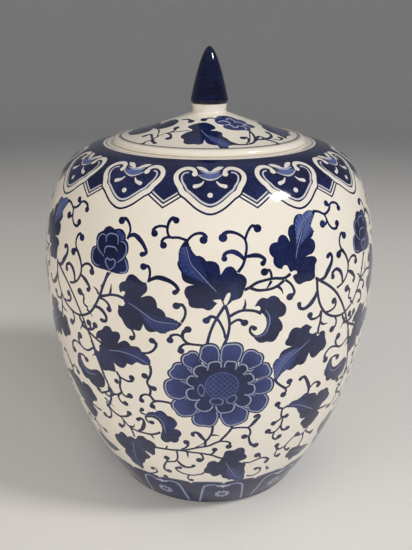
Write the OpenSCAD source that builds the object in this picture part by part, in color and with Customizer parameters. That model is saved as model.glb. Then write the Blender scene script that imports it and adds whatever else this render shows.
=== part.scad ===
// Covered ginger jar: an ovoid porcelain jar on a turned foot ring, with a flat-brimmed
// lid that drops into the mouth by an inner flange and is lifted by a pointed finial.
// Millimetres, +Z up, origin at the centre of the foot ring's resting face.

/* [Jar] */
// Diameter of the jar where it is widest
belly_d = 190; // [180:1:215]
// Height of the widest place above the table
belly_z = 139; // [125:1:150]
// Height of the flat ledge that carries the lid
ledge_z = 203.4; // [190:0.2:220]
// Outer diameter of the flat ledge
ledge_d = 116.4; // [112:0.2:122]
// Diameter of the mouth
mouth_d = 99; // [92:0.5:102]
// Diameter of the jar's lower edge
base_d = 114; // [108:1:126]
// Thickness of the jar's wall
wall_t = 5; // [4:0.5:8]
// Thickness of the jar's floor
floor_t = 5; // [4:0.5:9]
// How full the jar is below its widest place
lower_fullness = 2.35; // [2:0.05:2.8]
// How square the shoulder is
shoulder_fullness = 7.5; // [6:0.1:9]
// How tightly the shoulder turns over
shoulder_turn = 1.57; // [1.4:0.01:1.8]

/* [Foot ring] */
// Height of the foot ring
foot_h = 6; // [5:0.5:9]
// Outer diameter of the foot ring, which is also the rebate it is set in
foot_d = 106.6; // [98:0.2:106.8]
// Width of the foot ring from its outside to its inside
foot_w = 7; // [5:0.5:10]
// Height of the jar's lower edge above the table
edge_z = 2; // [1.5:0.5:3]

/* [Lid] */
// Diameter of the lid over its rounded rim
lid_d = 107.6; // [106:0.2:111]
// Height of the lid's rim above the ledge
rim_h = 3.4; // [3:0.1:5]
// Width of the rounding round the lid's rim
rim_w = 3.2; // [2.5:0.1:4]
// Height of the lid's crown above its rim
dome_h = 12.3; // [9:0.1:18]
// How hollow the slope of the dome is
dome_bend = 1.2; // [1.05:0.05:1.5]
// Thickness of the lid
lid_t = 4.5; // [4:0.1:5]
// Depth of the flange below the lid's seat
flange_h = 10; // [8:0.5:16]
// Thickness of the flange
flange_t = 3.6; // [3:0.1:5]
// Space all round between the flange and the mouth
flange_gap = 1.3; // [0.8:0.1:2.5]

/* [Finial] */
// Diameter of the collar under the finial
collar_d = 18.6; // [17:0.1:22]
// Height of the collar
collar_h = 4.9; // [3.5:0.1:6]
// Width of the flare at the collar's foot
collar_flare = 1.5; // [1:0.1:2.2]
// How far the collar's side leans out to its top
collar_lean = 0.4; // [0.2:0.1:0.6]
// Diameter of the spigot that holds the spire in the collar
spigot_d = 10; // [8:0.5:12]
// Space all round the spigot
spigot_gap = 0.15; // [0.1:0.05:0.3]
// Height of the spire above the collar
spire_h = 30.1; // [24:0.1:38]
// Diameter of the spire where it is widest
spire_d = 20.8; // [19:0.1:23.5]
// How full the spire is between its tip and its widest place
spire_bend = 0.57; // [0.5:0.01:0.7]
// Height of the spire's rounded lower edge
spire_round = 2.2; // [1.5:0.1:3]

/* [Hidden] */
// Segments round the jar
$fn = 192;
// Points along one curve of a section
STEPS = 40;
// Points along one small rounding
ARC_STEPS = 8;
// Radius of the roundings on the jar's edges and at the foot of its inside wall
edge_round = 1.2;
lip_round = 1;
floor_round = 9;

belly_r = belly_d / 2;
ledge_r = ledge_d / 2;
mouth_r = mouth_d / 2;
base_r = base_d / 2;
foot_r = foot_d / 2;
floor_z = foot_h + floor_t;
belly_in_r = belly_r - wall_t;

lid_r = lid_d / 2;
brim_r = lid_r - rim_w;
brim_z = ledge_z + rim_h;
crown_z = brim_z + dome_h;
crown_r = collar_d / 2 + collar_flare;
flange_r = mouth_r - flange_gap;
flange_in_r = flange_r - flange_t;
rim_drop = 0.8;

collar_z = crown_z + collar_h;
spire_r = spire_d / 2;
spigot_r = spigot_d / 2;
tip_z = collar_z + spire_h;

GLAZE_WHITE = [0.88, 0.86, 0.81];
GLAZE_COBALT = [0.07, 0.08, 0.30];
BISCUIT = [0.78, 0.70, 0.60];

// Which piece to draw

// Outer radius of the jar below its widest place, at height z
function lower_r(z) =
    base_r + (belly_r - base_r) * (1 - pow((belly_z - z) / (belly_z - edge_z), lower_fullness));

// How far a shoulder of widest radius wide has risen where its radius is r
function shoulder_rise(r, wide) =
    pow(1 - pow(r / wide, shoulder_fullness), 1 / shoulder_turn);

// Height of the jar's outside above its widest place, at radius r
function upper_z(r) =
    belly_z + (ledge_z - belly_z) * shoulder_rise(r, belly_r) / shoulder_rise(ledge_r, belly_r);

// Height of the jar's inside above its widest place, at radius r
function upper_in_z(r) =
    belly_z + (ledge_z - wall_t - belly_z)
        * shoulder_rise(r, belly_in_r) / shoulder_rise(mouth_r, belly_in_r);

// Inner radius of the jar below its widest place, with the rounding above its floor
function lower_in_r(z) =
    let (drop = max(0, (floor_z + floor_round - z) / floor_round))
    lower_r(z) - wall_t - floor_round * (1 - sqrt(max(0, 1 - drop * drop)));

// Height of the dome's outside at radius r
function dome_z(r) =
    brim_z + dome_h * pow(max(0, (brim_r - r) / (brim_r - crown_r)), dome_bend);

// Points of an arc round centre c with radii rx and rz, from angle a to angle b
function arc(c, rx, rz, a, b) =
    [for (i = [0 : ARC_STEPS])
        let (t = a + (b - a) * i / ARC_STEPS)
        [c[0] + rx * cos(t), c[1] + rz * sin(t)]];

// The ovoid wall, the floor and the ledge round the mouth
module jar_body() {
    outside_low = [for (i = [1 : STEPS])
        let (z = edge_z + edge_round + (belly_z - edge_z - edge_round) * i / STEPS)
        [lower_r(z), z]];
    outside_high = [for (i = [1 : STEPS])
        let (t = i / STEPS, r = belly_r - (belly_r - ledge_r) * t * t)
        [r, upper_z(r)]];
    inside_high = [for (i = [0 : STEPS - 1])
        let (t = 1 - i / STEPS, r = belly_in_r - (belly_in_r - mouth_r) * t * t)
        [r, upper_in_z(r)]];
    inside_low = [for (i = [0 : STEPS])
        let (t = 1 - i / STEPS, z = floor_z + (belly_z - floor_z) * t * t)
        [lower_in_r(z), z]];
    edge = arc([lower_r(edge_z + edge_round) - edge_round, edge_z + edge_round],
               edge_round, edge_round, -90, 0);
    lip = arc([mouth_r + lip_round, ledge_z - lip_round], lip_round, lip_round, 90, 180);
    color(GLAZE_WHITE)
        rotate_extrude()
            polygon(concat(
                [[0, foot_h], [foot_r, foot_h], [foot_r, edge_z]],
                edge, outside_low, outside_high, lip, inside_high, inside_low,
                [[0, floor_z]]));
}

// The unglazed ring that the jar stands on, set in a rebate under its floor
module foot_ring() {
    foot_round = 0.8;
    color(BISCUIT)
        rotate_extrude()
            polygon(concat(
                [[foot_r - foot_w, foot_h]],
                arc([foot_r - foot_w + foot_round, foot_round], foot_round, foot_round, 180, 270),
                arc([foot_r - foot_round, foot_round], foot_round, foot_round, 270, 360),
                [[foot_r, foot_h]]));
}

// The brim and the low dome, with a flat seat under the brim
module lid_cap() {
    outside = [for (i = [0 : STEPS])
        let (t = i / STEPS, r = crown_r + (brim_r - crown_r) * t)
        [r, dome_z(r)]];
    inside = [for (i = [0 : STEPS])
        let (t = i / STEPS, r = flange_in_r + (crown_r - flange_in_r) * t)
        [r, max(ledge_z + 0.2, dome_z(r) - lid_t)]];
    color(GLAZE_WHITE)
        rotate_extrude()
            polygon(concat(
                [[0, crown_z]], outside,
                arc([brim_r, ledge_z + rim_drop], rim_w, rim_h - rim_drop, 78, 0),
                arc([lid_r - rim_drop, ledge_z + rim_drop], rim_drop, rim_drop, -12, -90),
                [[flange_in_r, ledge_z]], inside,
                [[0, crown_z - lid_t]]));
}

// The ring under the lid that drops into the mouth and keeps the lid centred
module lid_flange() {
    flange_round = 1;
    low_z = ledge_z - flange_h;
    color(BISCUIT)
        rotate_extrude()
            polygon(concat(
                [[flange_in_r, ledge_z]],
                arc([flange_in_r + flange_round, low_z + flange_round],
                    flange_round, flange_round, 180, 270),
                arc([flange_r - flange_round, low_z + flange_round],
                    flange_round, flange_round, 270, 360),
                [[flange_r, ledge_z]]));
}

// The short ring on the crown that carries the spire
module finial_collar() {
    collar_r = collar_d / 2;
    color(GLAZE_WHITE)
        rotate_extrude()
            polygon(concat(
                [[spigot_r + spigot_gap, crown_z], [crown_r, crown_z]],
                arc([crown_r, crown_z + collar_flare], collar_flare, collar_flare, 262, 180),
                [[collar_r + collar_lean, collar_z], [spigot_r + spigot_gap, collar_z]]));
}

// The pointed knob, with a spigot below that fills the collar
module finial_spire() {
    wide_z = collar_z + spire_round;
    edge_w = 0.6 * spire_round;
    side = [for (i = [1 : STEPS])
        let (t = 1 - i / STEPS)
        [spire_r * pow(t * t, spire_bend), tip_z - (tip_z - wide_z) * t * t]];
    color(GLAZE_COBALT)
        rotate_extrude()
            polygon(concat(
                [[0, crown_z], [spigot_r, crown_z], [spigot_r, collar_z]],
                arc([spire_r - edge_w, wide_z], edge_w, spire_round, -90, 0),
                side));
}

jar_body();
foot_ring();
lid_cap();
lid_flange();
finial_collar();
finial_spire();
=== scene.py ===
import math

import bmesh
import bpy
import numpy as np
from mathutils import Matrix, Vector, geometry


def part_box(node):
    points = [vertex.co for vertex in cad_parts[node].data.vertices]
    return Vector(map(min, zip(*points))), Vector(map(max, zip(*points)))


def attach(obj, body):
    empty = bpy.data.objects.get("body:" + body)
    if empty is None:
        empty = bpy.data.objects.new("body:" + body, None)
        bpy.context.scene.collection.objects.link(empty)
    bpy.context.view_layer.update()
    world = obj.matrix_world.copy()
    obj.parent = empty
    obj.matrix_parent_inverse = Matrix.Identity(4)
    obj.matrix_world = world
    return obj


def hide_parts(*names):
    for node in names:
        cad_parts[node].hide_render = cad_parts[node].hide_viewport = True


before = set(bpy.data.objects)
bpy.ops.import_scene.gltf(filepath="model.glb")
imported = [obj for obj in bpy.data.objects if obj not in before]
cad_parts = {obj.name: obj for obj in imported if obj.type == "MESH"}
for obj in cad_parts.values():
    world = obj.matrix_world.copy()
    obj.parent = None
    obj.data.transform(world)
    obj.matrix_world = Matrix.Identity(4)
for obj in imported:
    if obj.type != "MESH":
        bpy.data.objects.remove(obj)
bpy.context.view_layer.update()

# The foot ring is the turned ring that the jar stands on, set in a rebate under the floor.
# It is bare fired porcelain, wiped clean of glaze so that it doesn't stick in the kiln,
# and it is luted to the jar while both are leather-hard.


def linear(code):
    """An sRGB hex colour as the linear RGBA that a shader takes."""
    parts = [int(code[i:i + 2], 16) / 255 for i in (1, 3, 5)]
    return [p / 12.92 if p <= 0.04045 else ((p + 0.055) / 1.055) ** 2.4 for p in parts] + [1.0]


def feed(tree, made, inputs):
    """Links or sets inputs of a shader node."""
    for socket, value in inputs.items():
        if isinstance(value, bpy.types.NodeSocket):
            tree.links.new(value, made.inputs[socket])
        else:
            made.inputs[socket].default_value = value


def add_node(tree, kind, inputs=None, **settings):
    """Adds one shader node, sets its properties and feeds its inputs."""
    made = tree.nodes.new("ShaderNode" + kind)
    for name, value in settings.items():
        setattr(made, name, value)
    feed(tree, made, inputs or {})
    return made


def add_ramp(tree, factor, *stops):
    """Adds a ramp through sRGB hex colours, each at its place, and gives its colour."""
    made = add_node(tree, "ValToRGB", {"Fac": factor})
    parts = made.color_ramp.elements
    for i, (place, code) in enumerate((stops[0], stops[-1])):
        parts[i].position = place
        parts[i].color = linear(code)
    for place, code in stops[1:-1]:
        parts.new(place).color = linear(code)
    return made.outputs["Color"]


def start_material(name):
    """An empty node material: its tree, its Principled shader and its object coordinates."""
    made = bpy.data.materials.new(name)
    made.use_nodes = True
    tree = made.node_tree
    places = add_node(tree, "TexCoord").outputs["Object"]
    return made, tree, tree.nodes["Principled BSDF"], places


# Biscuit porcelain: fired bare, dry to the eye, faintly sandy from the kiln shelf.
MM = 0.001
BISCUIT_GRIT = 0.8 * MM
KILN_STAIN = 14 * MM
biscuit, tree, shader, places = start_material("biscuit_porcelain")
sand = add_node(tree, "TexNoise", {"Vector": places, "Scale": 1 / BISCUIT_GRIT, "Detail": 4.0})
stain = add_node(tree, "TexNoise", {"Vector": places, "Scale": 1 / KILN_STAIN, "Detail": 3.0})
tone = add_ramp(tree, stain.outputs["Fac"], (0.35, "#B59F84"), (0.65, "#D2C2AA"))
bump = add_node(tree, "Bump", {"Height": sand.outputs["Fac"], "Strength": 0.5, "Distance": 0.2 * MM})
feed(tree, shader, {"Base Color": tone, "Normal": bump.outputs["Normal"], "Roughness": 0.72, "IOR": 1.5})

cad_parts["foot_ring"].material_slots[0].material = biscuit

# The jar body is an ovoid porcelain pot, thrown and turned, with a flat ledge round its mouth.
# It was painted with cobalt on the raw clay and dipped in clear glaze, so the blue lies under
# the gloss. The painting is laid out flat here and wrapped round the wall.
BELLY_R = 95.0
BELLY_Z = 139.0
BASE_R = 57.0
LEDGE_R = 58.2
MOUTH_R = 49.5
WALL_T = 5.0
FOOT_R = 53.3
FOOT_H = 6.0
FLOOR_Z = 11.0
EDGE_ROUND = 1.2
LIP_ROUND = 1.0
FLOOR_ROUND = 9.0
LOWER_FULLNESS = 2.35
SHOULDER_FULLNESS = 7.5
SHOULDER_TURN = 1.57
COLUMNS = 192
WALL_STEPS = 240
LEDGE_STEPS = 12
INSIDE_STEPS = 30
WELD = 0.002 * MM
EDGE_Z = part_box("jar_body")[0][2] / MM
LEDGE_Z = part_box("jar_body")[1][2] / MM


def lower_r(z):
    """Outer radius of the jar below its widest place."""
    fall = (BELLY_Z - z) / (BELLY_Z - EDGE_Z)
    return BASE_R + (BELLY_R - BASE_R) * (1 - fall ** LOWER_FULLNESS)


def shoulder_rise(r, wide):
    """How far a shoulder has risen where its radius has come in from wide to r."""
    return (1 - (r / wide) ** SHOULDER_FULLNESS) ** (1 / SHOULDER_TURN)


def arc(centre, radius, start, end, steps=8):
    """Points of a small rounding in the section, between two angles in degrees."""
    turn = np.radians(np.linspace(start, end, steps))
    return np.column_stack([centre[0] + radius * np.cos(turn), centre[1] + radius * np.sin(turn)])


def headings(path):
    """The direction of a path at each of its points, one unit long."""
    way = np.gradient(path, axis=0)
    return way / np.hypot(*way.T)[:, None]


def lathe(*runs, tone=0.0):
    """Turns each run of section points about the axis. Runs go round the section with the clay
    on their left, and a corner between two runs stays sharp."""
    patches = []
    for run in runs:
        run = np.array(run, float)
        way = headings(run)
        turn = np.arange(COLUMNS + 1) * 2 * math.pi / COLUMNS
        side, front = np.sin(turn), -np.cos(turn)
        points = np.array([[(r * s, r * f, z) for s, f in zip(side, front)] for r, z in run])
        facing = np.array([[(w[1] * s, w[1] * f, -w[0]) for s, f in zip(side, front)] for w in way])
        row = np.arange(COLUMNS)
        quads = np.vstack([
            np.column_stack([i + row, i + row + 1, i + row + COLUMNS + 2, i + row + COLUMNS + 1])
            for i in range(0, (len(run) - 1) * (COLUMNS + 1), COLUMNS + 1)])
        patches.append((points.reshape(-1, 3), facing.reshape(-1, 3), quads, np.full(quads.shape, tone)))
    return patches


def make_skin(name, patches):
    """Joins patches of points, facings, faces and cobalt tones into one closed, smooth mesh."""
    points, faces, facings, tones, count = [], [], [], [], 0
    for spots, facing, polys, tone in patches:
        points.append(spots * MM)
        faces.extend((polys + count).tolist())
        facings.append(facing[polys.reshape(-1)])
        tones.append(tone.reshape(-1))
        count += len(spots)
    mesh = bpy.data.meshes.new(name)
    mesh.from_pydata(np.vstack(points), [], faces)
    mesh.attributes.new("cobalt", "FLOAT", "CORNER").data.foreach_set("value", np.concatenate(tones))
    lie = mesh.attributes.new("facing", "FLOAT_VECTOR", "CORNER")
    lie.data.foreach_set("vector", np.vstack(facings).reshape(-1))
    work = bmesh.new()
    work.from_mesh(mesh)
    bmesh.ops.remove_doubles(work, verts=work.verts, dist=WELD)
    work.to_mesh(mesh)
    work.free()
    mesh.polygons.foreach_set("use_smooth", np.ones(len(mesh.polygons), bool))
    lie = np.zeros(len(mesh.loops) * 3, np.float32)
    mesh.attributes["facing"].data.foreach_get("vector", lie)
    mesh.attributes.remove(mesh.attributes["facing"])
    mesh.normals_split_custom_set(lie.reshape(-1, 3))
    made = bpy.data.objects.new(name, mesh)
    bpy.context.collection.objects.link(made)
    return made


def smooth(points, pitch=1.1):
    """The soft curve that a brush makes through the points, with a point about every pitch mm."""
    p = np.array(points, float)
    p = np.vstack([2 * p[0] - p[1], p, 2 * p[-1] - p[-2]])
    path = []
    for a, b, c, d in zip(p, p[1:], p[2:], p[3:]):
        t = np.linspace(0, 1, max(2, int(np.hypot(*(c - b)) / pitch)), endpoint=False)[:, None]
        path.append(b + (c - a) * t / 2 + (2 * a - 5 * b + 4 * c - d) * t ** 2 / 2
                    + (3 * b - a - 3 * c + d) * t ** 3 / 2)
    return np.vstack(path + [p[-2:-1]])


def outlined(points):
    """A closed, soft outline through the points. A point given twice stays a sharp corner."""
    first = next(i for i, p in enumerate(points) if p == points[i - 1])
    points = points[first:] + points[:first]
    cuts = [0] + [i for i in range(1, len(points)) if points[i] == points[i - 1]] + [len(points)]
    return np.vstack([smooth(points[a:b])[:-1] for a, b in zip(cuts, cuts[1:])])


def divided(outline, step=3.0):
    """The outline with points added, so that no side of it is longer than step mm."""
    parts = []
    for a, b in zip(outline, np.roll(outline, -1, axis=0)):
        n = max(1, math.ceil(np.hypot(*(b - a)) / step))
        parts.append(a + (b - a) * np.arange(n)[:, None] / n)
    return np.vstack(parts)


def within(spots, outline):
    """Which of the spots lie inside an outline."""
    near = np.all((spots > outline.min(axis=0)) & (spots < outline.max(axis=0)), axis=1)
    some = np.flatnonzero(near)
    if not len(some):
        return some
    px, py = spots[some].T[:, :, None]
    (ax, ay), (bx, by) = outline.T, np.roll(outline, -1, axis=0).T
    left = (bx - ax) * (py - ay) - (px - ax) * (by - ay)
    rising = ((ay <= py) & (by > py) & (left > 0)).sum(axis=1)
    falling = ((ay > py) & (by <= py) & (left < 0)).sum(axis=1)
    return some[rising != falling]


# Tones of cobalt run from bare white to where the brush was fullest. Widths of the brush are in
# millimetres, given from the start of a stroke to its end.
BARE, DEEP = 0.0, 1.0
STEM_W, FINE_STEM_W = 1.6, 0.8
THORN_W = [1.6, 1.2, 0.3]
RIB_W = [1.9, 1.9, 1.6, 1.3, 0.8]
RIB_LINE_W, RIB_LINE_TONE = [0.3, 0.6, 0.6, 0.5, 0.3], 0.48
VEIN_W = 0.6
# Where a leaf thins, as shares of its rib from the stem to the tip, and how widely there
THIN_AT, THIN_SPREAD = [0, 0.25, 0.6, 0.9, 1], [0, 0.2, 0.9, 1, 0.4]


def travelled(path):
    """How far along a path each of its points lies."""
    return np.concatenate([[0], np.cumsum(np.hypot(*np.diff(path, axis=0).T))])


def sideways(path):
    """The direction to the left of a path at each of its points, one unit long."""
    way = headings(path)
    return np.column_stack([-way[:, 1], way[:, 0]])


class Painting:
    """Brushwork on a flat sheet, in millimetres, kept in the order in which it is painted."""

    def __init__(self):
        self.shapes = []

    def fill(self, outline, tone=DEEP, fade=None):
        """Fills an outline. fade = (x, y, x, y, tone) changes the tone along that line."""
        self.shapes.append((np.array(outline, float), tone, fade))

    def dab(self, x, y, wide, high, tone=DEEP, turn=0.0):
        """A round or oval touch of the brush with these half widths, turned by so many degrees."""
        t = np.linspace(0, 2 * math.pi, max(14, int(5 * max(wide, high))), endpoint=False)
        u, v = wide * np.cos(t), high * np.sin(t)
        c, s = math.cos(math.radians(turn)), math.sin(math.radians(turn))
        self.fill(np.column_stack([x + u * c - v * s, y + u * s + v * c]), tone)

    def stroke(self, points, widths, tone=DEEP):
        """A brush stroke with these widths along it."""
        path = smooth(points)
        gone = travelled(path)
        wide = np.interp(gone, np.linspace(0, gone[-1], len(widths)), widths)
        reach = sideways(path) * wide[:, None] / 2
        self.fill(np.vstack([path + reach, (path - reach)[::-1]]), tone)

    def stem(self, *points, wide=STEM_W):
        """A long even stroke, a little thinner along its middle."""
        self.stroke(points, [wide, 0.85 * wide, wide])

    def thorn(self, *points):
        """A short stroke that runs out to a point."""
        self.stroke(points, THORN_W)

    def curl(self, *points, ball=1.7, swell=0.0):
        """A tendril that ends in a ball. swell thickens its middle like a small leaf."""
        self.stroke(points, [1.4, 1.25 + 0.6 * swell, 1.3 + swell, 1.4 + 0.5 * swell, 1.7, 2.5])
        self.dab(*points[-1], ball + 0.1, 0.92 * ball + 0.1)

    def hatch(self, foot, head, wide, tone):
        """A fine line that tapers from its foot to nothing."""
        long = np.hypot(*(head - foot))
        side = np.array([head[1] - foot[1], foot[0] - head[0]]) * wide / (2 * long + 1e-9)
        self.fill([foot + side, head, foot - side], tone)

    def leaf(self, edge, rib, glow=(3.5, 3.5), light=(0.86, 0.86)):
        """A lobed leaf inside its edge, with a pale rib from the stem to the tip.
        Left and right of the rib it thins to the tone light over this many millimetres towards the
        tip, and the edge of that is hatched with fine veins."""
        outline = outlined(edge)
        self.fill(outline)
        path = smooth(rib, 0.8)
        across = sideways(path)
        along = np.linspace(0, 1, len(path))
        spread = np.interp(along, THIN_AT, THIN_SPREAD)[:, None]
        mid = len(path) * 7 // 10
        for side, wide, thin in ((1, glow[0], light[0]), (-1, glow[1], light[1])):
            rim = path.copy()
            for reach in np.linspace(0.1, 1, 10):
                out = path + side * across * spread * wide * reach
                inside = within(out, outline)
                rim[inside] = out[inside]
            far = path[mid] + side * across[mid] * wide
            self.fill(np.vstack([path, rim[::-1]]), thin, (*path[mid], *far, 0.4 + 0.6 * thin))
            for i in range(len(path) // 4, len(path) - 1, 2):
                root = path[max(0, i - 2)]
                self.hatch(rim[i] + 0.1 * (rim[i] - root), root + 0.35 * (rim[i] - root), VEIN_W, DEEP)
        self.stroke(rib, RIB_W)
        self.stroke(rib, RIB_LINE_W, RIB_LINE_TONE)

    def petal(self, edge, root, tones, steps):
        """A petal through its root and its outer edge, as nested shapes from the outside in.
        The innermost is deeper towards the root."""
        outline = smooth([root] + edge + [root])[:-1]
        heart = outline.mean(axis=0)
        size = np.hypot(*(outline - heart).T).mean()
        *lines, last = [heart + (outline - heart) * (1 - gone / size) for gone in np.cumsum(steps)]
        for line, tone in zip(lines, tones):
            self.fill(line, tone)
        self.fill(last, min(1, tones[-1] + 0.2), (*root, *edge[len(edge) // 2], tones[-1]))


# The scroll, drawn flat: x runs round the belly from the front, y runs up the wall from the table.
# One quarter of the way round holds the whole motif, and the other quarters repeat it.
QUARTER = BELLY_R * math.pi / 2
scroll = Painting()

# Long stems that carry the bud, the blossom and the leaves
scroll.stem((54, 158), (58, 155.5), (64, 151.5), (69, 147), (74, 140.5), (78.5, 133), (80, 130),
            (82.5, 125), (85.3, 118), (87, 111.5), (89, 104), (91, 99), (92, 94), (91.5, 89), (89, 84),
            (86, 81))
scroll.stem((83.5, 122), (86, 113.5), (88, 108), (89.5, 103.5))
scroll.stem((79, 75.2), (75, 75.3), (72, 76), (69.5, 75.8))
scroll.stem((55, 157.5), (55.3, 151), (57, 144.5), (61, 138.7), (67, 135), (74, 133.6), (80, 135),
            (86, 139), (91.5, 147), (94.5, 154), (97.5, 161.3))
scroll.stem((93, 153), (96.5, 158), (99, 161.5), wide=FINE_STEM_W)
scroll.stem((75.5, 133), (77, 130.5), (79, 128.5), (82, 126.5), (86, 124.5), (91, 122.2))
scroll.stem((-1.8, 128), (-1, 132), (0.3, 137), (2.3, 142), (4.5, 146), (7, 150))
scroll.stem((6.5, 129.5), (8, 133), (9, 138), (9, 142), (8.3, 146), (7, 150))
scroll.stem((5.4, 153), (7, 149.8), (9.8, 152), wide=FINE_STEM_W)
scroll.stem((9, 144.3), (12, 146), (15, 147), (19, 146.8), (22, 146), (24.4, 144.6))
scroll.stem((16, 157), (18.5, 158), (22, 160), (27, 161), (31, 161.3), (36, 160.8), (39.6, 162.4))
scroll.stem((19, 157.8), (22, 156.5), (26, 156.2), (30, 156.6), (33.5, 158), (36, 159.8))
scroll.stem((-57.5, 148), (-54, 149), (-50, 150.3), (-46, 150.6), (-42.5, 149.8))
scroll.stem((-30.2, 116), (-29.8, 113), (-30.5, 110), (-31.8, 107.5), (-32.5, 105.5), (-31.5, 103),
            (-31, 100.5), (-31.7, 98), (-30.5, 96), (-29.5, 94.5))
scroll.stem((-29.8, 94.3), (-27, 95), (-23, 95), (-20.5, 94.5), (-19.8, 93))
scroll.stem((-50.5, 108), (-49.3, 106), (-48.7, 104.5), (-48.8, 102), (-49.5, 100), (-49.5, 97.5),
            (-49.2, 95.5), (-51.5, 93.2), (-54, 92.5), (-56, 91.8), (-58.5, 89.6), (-60.5, 89.8),
            (-62.5, 91))
scroll.stem((1.7, 80.5), (1.2, 76), (0.3, 73.5), (-1, 71), (-2.2, 69.5), (-2.5, 67), (-3, 65))
scroll.stem((12.5, 81), (12, 78.5), (11, 76.5), (9, 73.5), (7, 71), (5.8, 69.3), (3, 67.8), (0, 66),
            (-3, 65), (-7, 64), (-12, 62.3), (-16, 61), (-22, 60.2), (-34, 59.7))
scroll.stem((-2.5, 70), (-3, 68.5), (-5.5, 66), (-8, 64.5), (-10, 63), (-14, 62), wide=FINE_STEM_W)
scroll.stem((-20, 60.4), (-16, 60.5), (-10, 59.7), (-6, 59.5), (-2, 58.7), (0.5, 58), (3, 57),
            (5, 55.8), (7.4, 54.9))
scroll.stem((-28.5, 73), (-30, 72), (-33, 70.5), (-36, 69.8), (-40, 69.8), (-45, 70), (-49.5, 71.8),
            (-51, 73.5), (-54, 77), (-58, 78.6), (-60, 80), (-63, 84.5))
scroll.stem((-48.5, 71), (-47.8, 68), (-47.4, 64))
scroll.stem((58.5, 140.5), (58.4, 135), (57.4, 130.5), (57.4, 127.6))
scroll.stem((66, 65.5), (65.4, 62.5), (64, 60.5), (65.5, 55), (65, 49.5))

# Tendrils, group by group from the top
scroll.curl((57, 190), (61, 189.2), (64.4, 187.5), (67.5, 188.2), (70, 190.3), (68, 192.3), ball=1.6)
scroll.curl((69.5, 190.5), (72, 191.9), (75, 191.7), (77, 190.3), (77.2, 188.6), ball=1.6)
scroll.curl((64.4, 187.5), (65.5, 184.8), (64.5, 182.8), (62, 183), ball=2.0)
scroll.curl((65.4, 185), (66.5, 182), (69, 179.6), (72, 179.4), (73, 181.5))
scroll.curl((69, 149.7), (73, 150.7), (76.7, 153.4), (78.8, 157.5), (78.6, 161.5), (76.5, 165.5),
            (73.8, 168), (71.3, 166.2), ball=2.0)
scroll.curl((74.3, 167.6), (72.8, 171), (73.4, 174.3), (75.4, 176.2), (77.4, 174.6), ball=1.9)
scroll.curl((78.9, 160), (81.5, 162.2), (84.6, 162.8), (87, 161.2), (86.8, 159.3))
scroll.curl((79, 156), (81.5, 154.8), (84, 152.8), (85.3, 150.8), (84.2, 149.6), ball=1.2, swell=1.2)
scroll.curl((73.6, 151.3), (73.2, 155), (71.5, 158), (68.6, 159.5), (65.8, 158.2), (66, 156), ball=1.3,
            swell=0.9)
scroll.curl((57, 156.4), (60, 157), (62.2, 159.6), (65, 163), (66, 166), (64.7, 167.9), (63, 167),
            ball=1.2, swell=1.5)
scroll.curl((55.3, 152), (53.5, 148), (50, 144.6), (47, 143.6), (44.8, 144.6), (44.3, 146.6), ball=1.2,
            swell=1.5)
scroll.curl((36.5, 160), (39.5, 157.5), (41.2, 154.5), (41.3, 152.6), (39, 151.2), ball=1.9)
scroll.curl((58.4, 140), (57.2, 137.6), (54.3, 136.8), (51.8, 137.4), (51.2, 139.4))
scroll.curl((61.5, 138.4), (65, 138.4), (68.2, 139.6), (69, 142), (67.3, 143.2), ball=1.8)
scroll.thorn((58.4, 134), (60.5, 132.3), (64, 132))
scroll.curl((69, 134.4), (70.6, 131.5), (70.2, 128.6), (67.7, 127.4), ball=1.9)
scroll.thorn((79, 131), (77, 128), (75, 125.3))
scroll.thorn((88, 110), (85, 114), (82.5, 112))
scroll.curl((82.5, 127.5), (85.5, 128.5), (87.5, 131.3), ball=1.8)
scroll.curl((-11, 180.2), (-15.5, 181.4), (-19.6, 181.4), (-21.2, 184.5), (-20.6, 188.4),
            (-18.8, 190.1), (-17, 189.2), ball=1.6)
scroll.curl((-21.2, 185.8), (-24, 186.3), (-27, 185.6), (-28.4, 184), (-27.6, 182.6))
scroll.curl((-19.6, 181.4), (-22, 181), (-23.6, 179.3), (-22.7, 177.5))
scroll.curl((-12.2, 178), (-10, 181.4), (-7, 183.4), (-3.8, 183.6), (-2, 182), (-3.2, 180.6), ball=1.9)
scroll.curl((-42, 178.5), (-40.8, 182.5), (-42, 186), (-44.5, 188), (-46.6, 186.8), ball=1.9)
scroll.curl((-42, 179.5), (-38.5, 181), (-35, 179), (-32.3, 176), (-31.2, 173.4), (-33.4, 172.3),
            ball=1.2, swell=1.3)
scroll.curl((-29.6, 159.5), (-28.8, 163.5), (-29.7, 167), (-32.3, 166.7))
scroll.curl((-29.5, 160.3), (-25.5, 162.2), (-21.3, 161.8), (-17.2, 160), (-15, 157.3), (-16.6, 155.7),
            ball=1.2, swell=1.2)
scroll.curl((-13.5, 141), (-11.9, 144), (-11.5, 147.2), (-13, 150), (-15.8, 149.3), ball=1.8)
scroll.curl((-66, 139.8), (-69, 141.5), (-68.6, 145.5), (-71.5, 147), ball=2.0)
scroll.curl((-62, 141.5), (-59, 142), (-56.5, 141.2), (-54.5, 139.5), (-53.5, 137.5), (-54.2, 135.5),
            (-57, 135.5), ball=0.9, swell=0.9)
scroll.curl((-57, 147.3), (-54.5, 146.9), (-52.5, 145.8), (-51.2, 144), (-51.5, 142.4), ball=1.6)
scroll.thorn((-57.8, 149), (-59, 151), (-61.3, 152.2))
scroll.thorn((-50.5, 150.3), (-50, 153), (-49.8, 156))
scroll.thorn((-67, 138.8), (-64.5, 137.5), (-63, 135.5))
scroll.curl((-71.5, 128), (-68, 127.5), (-65, 129), (-66.3, 131.5), ball=1.8)
scroll.stem((13, 165.5), (15.5, 168.7), (17, 173.2))
scroll.curl((17, 173.2), (17.6, 177.5), (16.5, 181), (13, 183.4), (9, 184.2), (6.6, 183.2),
            (6.2, 181.6), ball=2.1)
scroll.curl((16.9, 180.3), (18.5, 184), (21, 186.6), (23.6, 185.2), ball=2.0)
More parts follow.
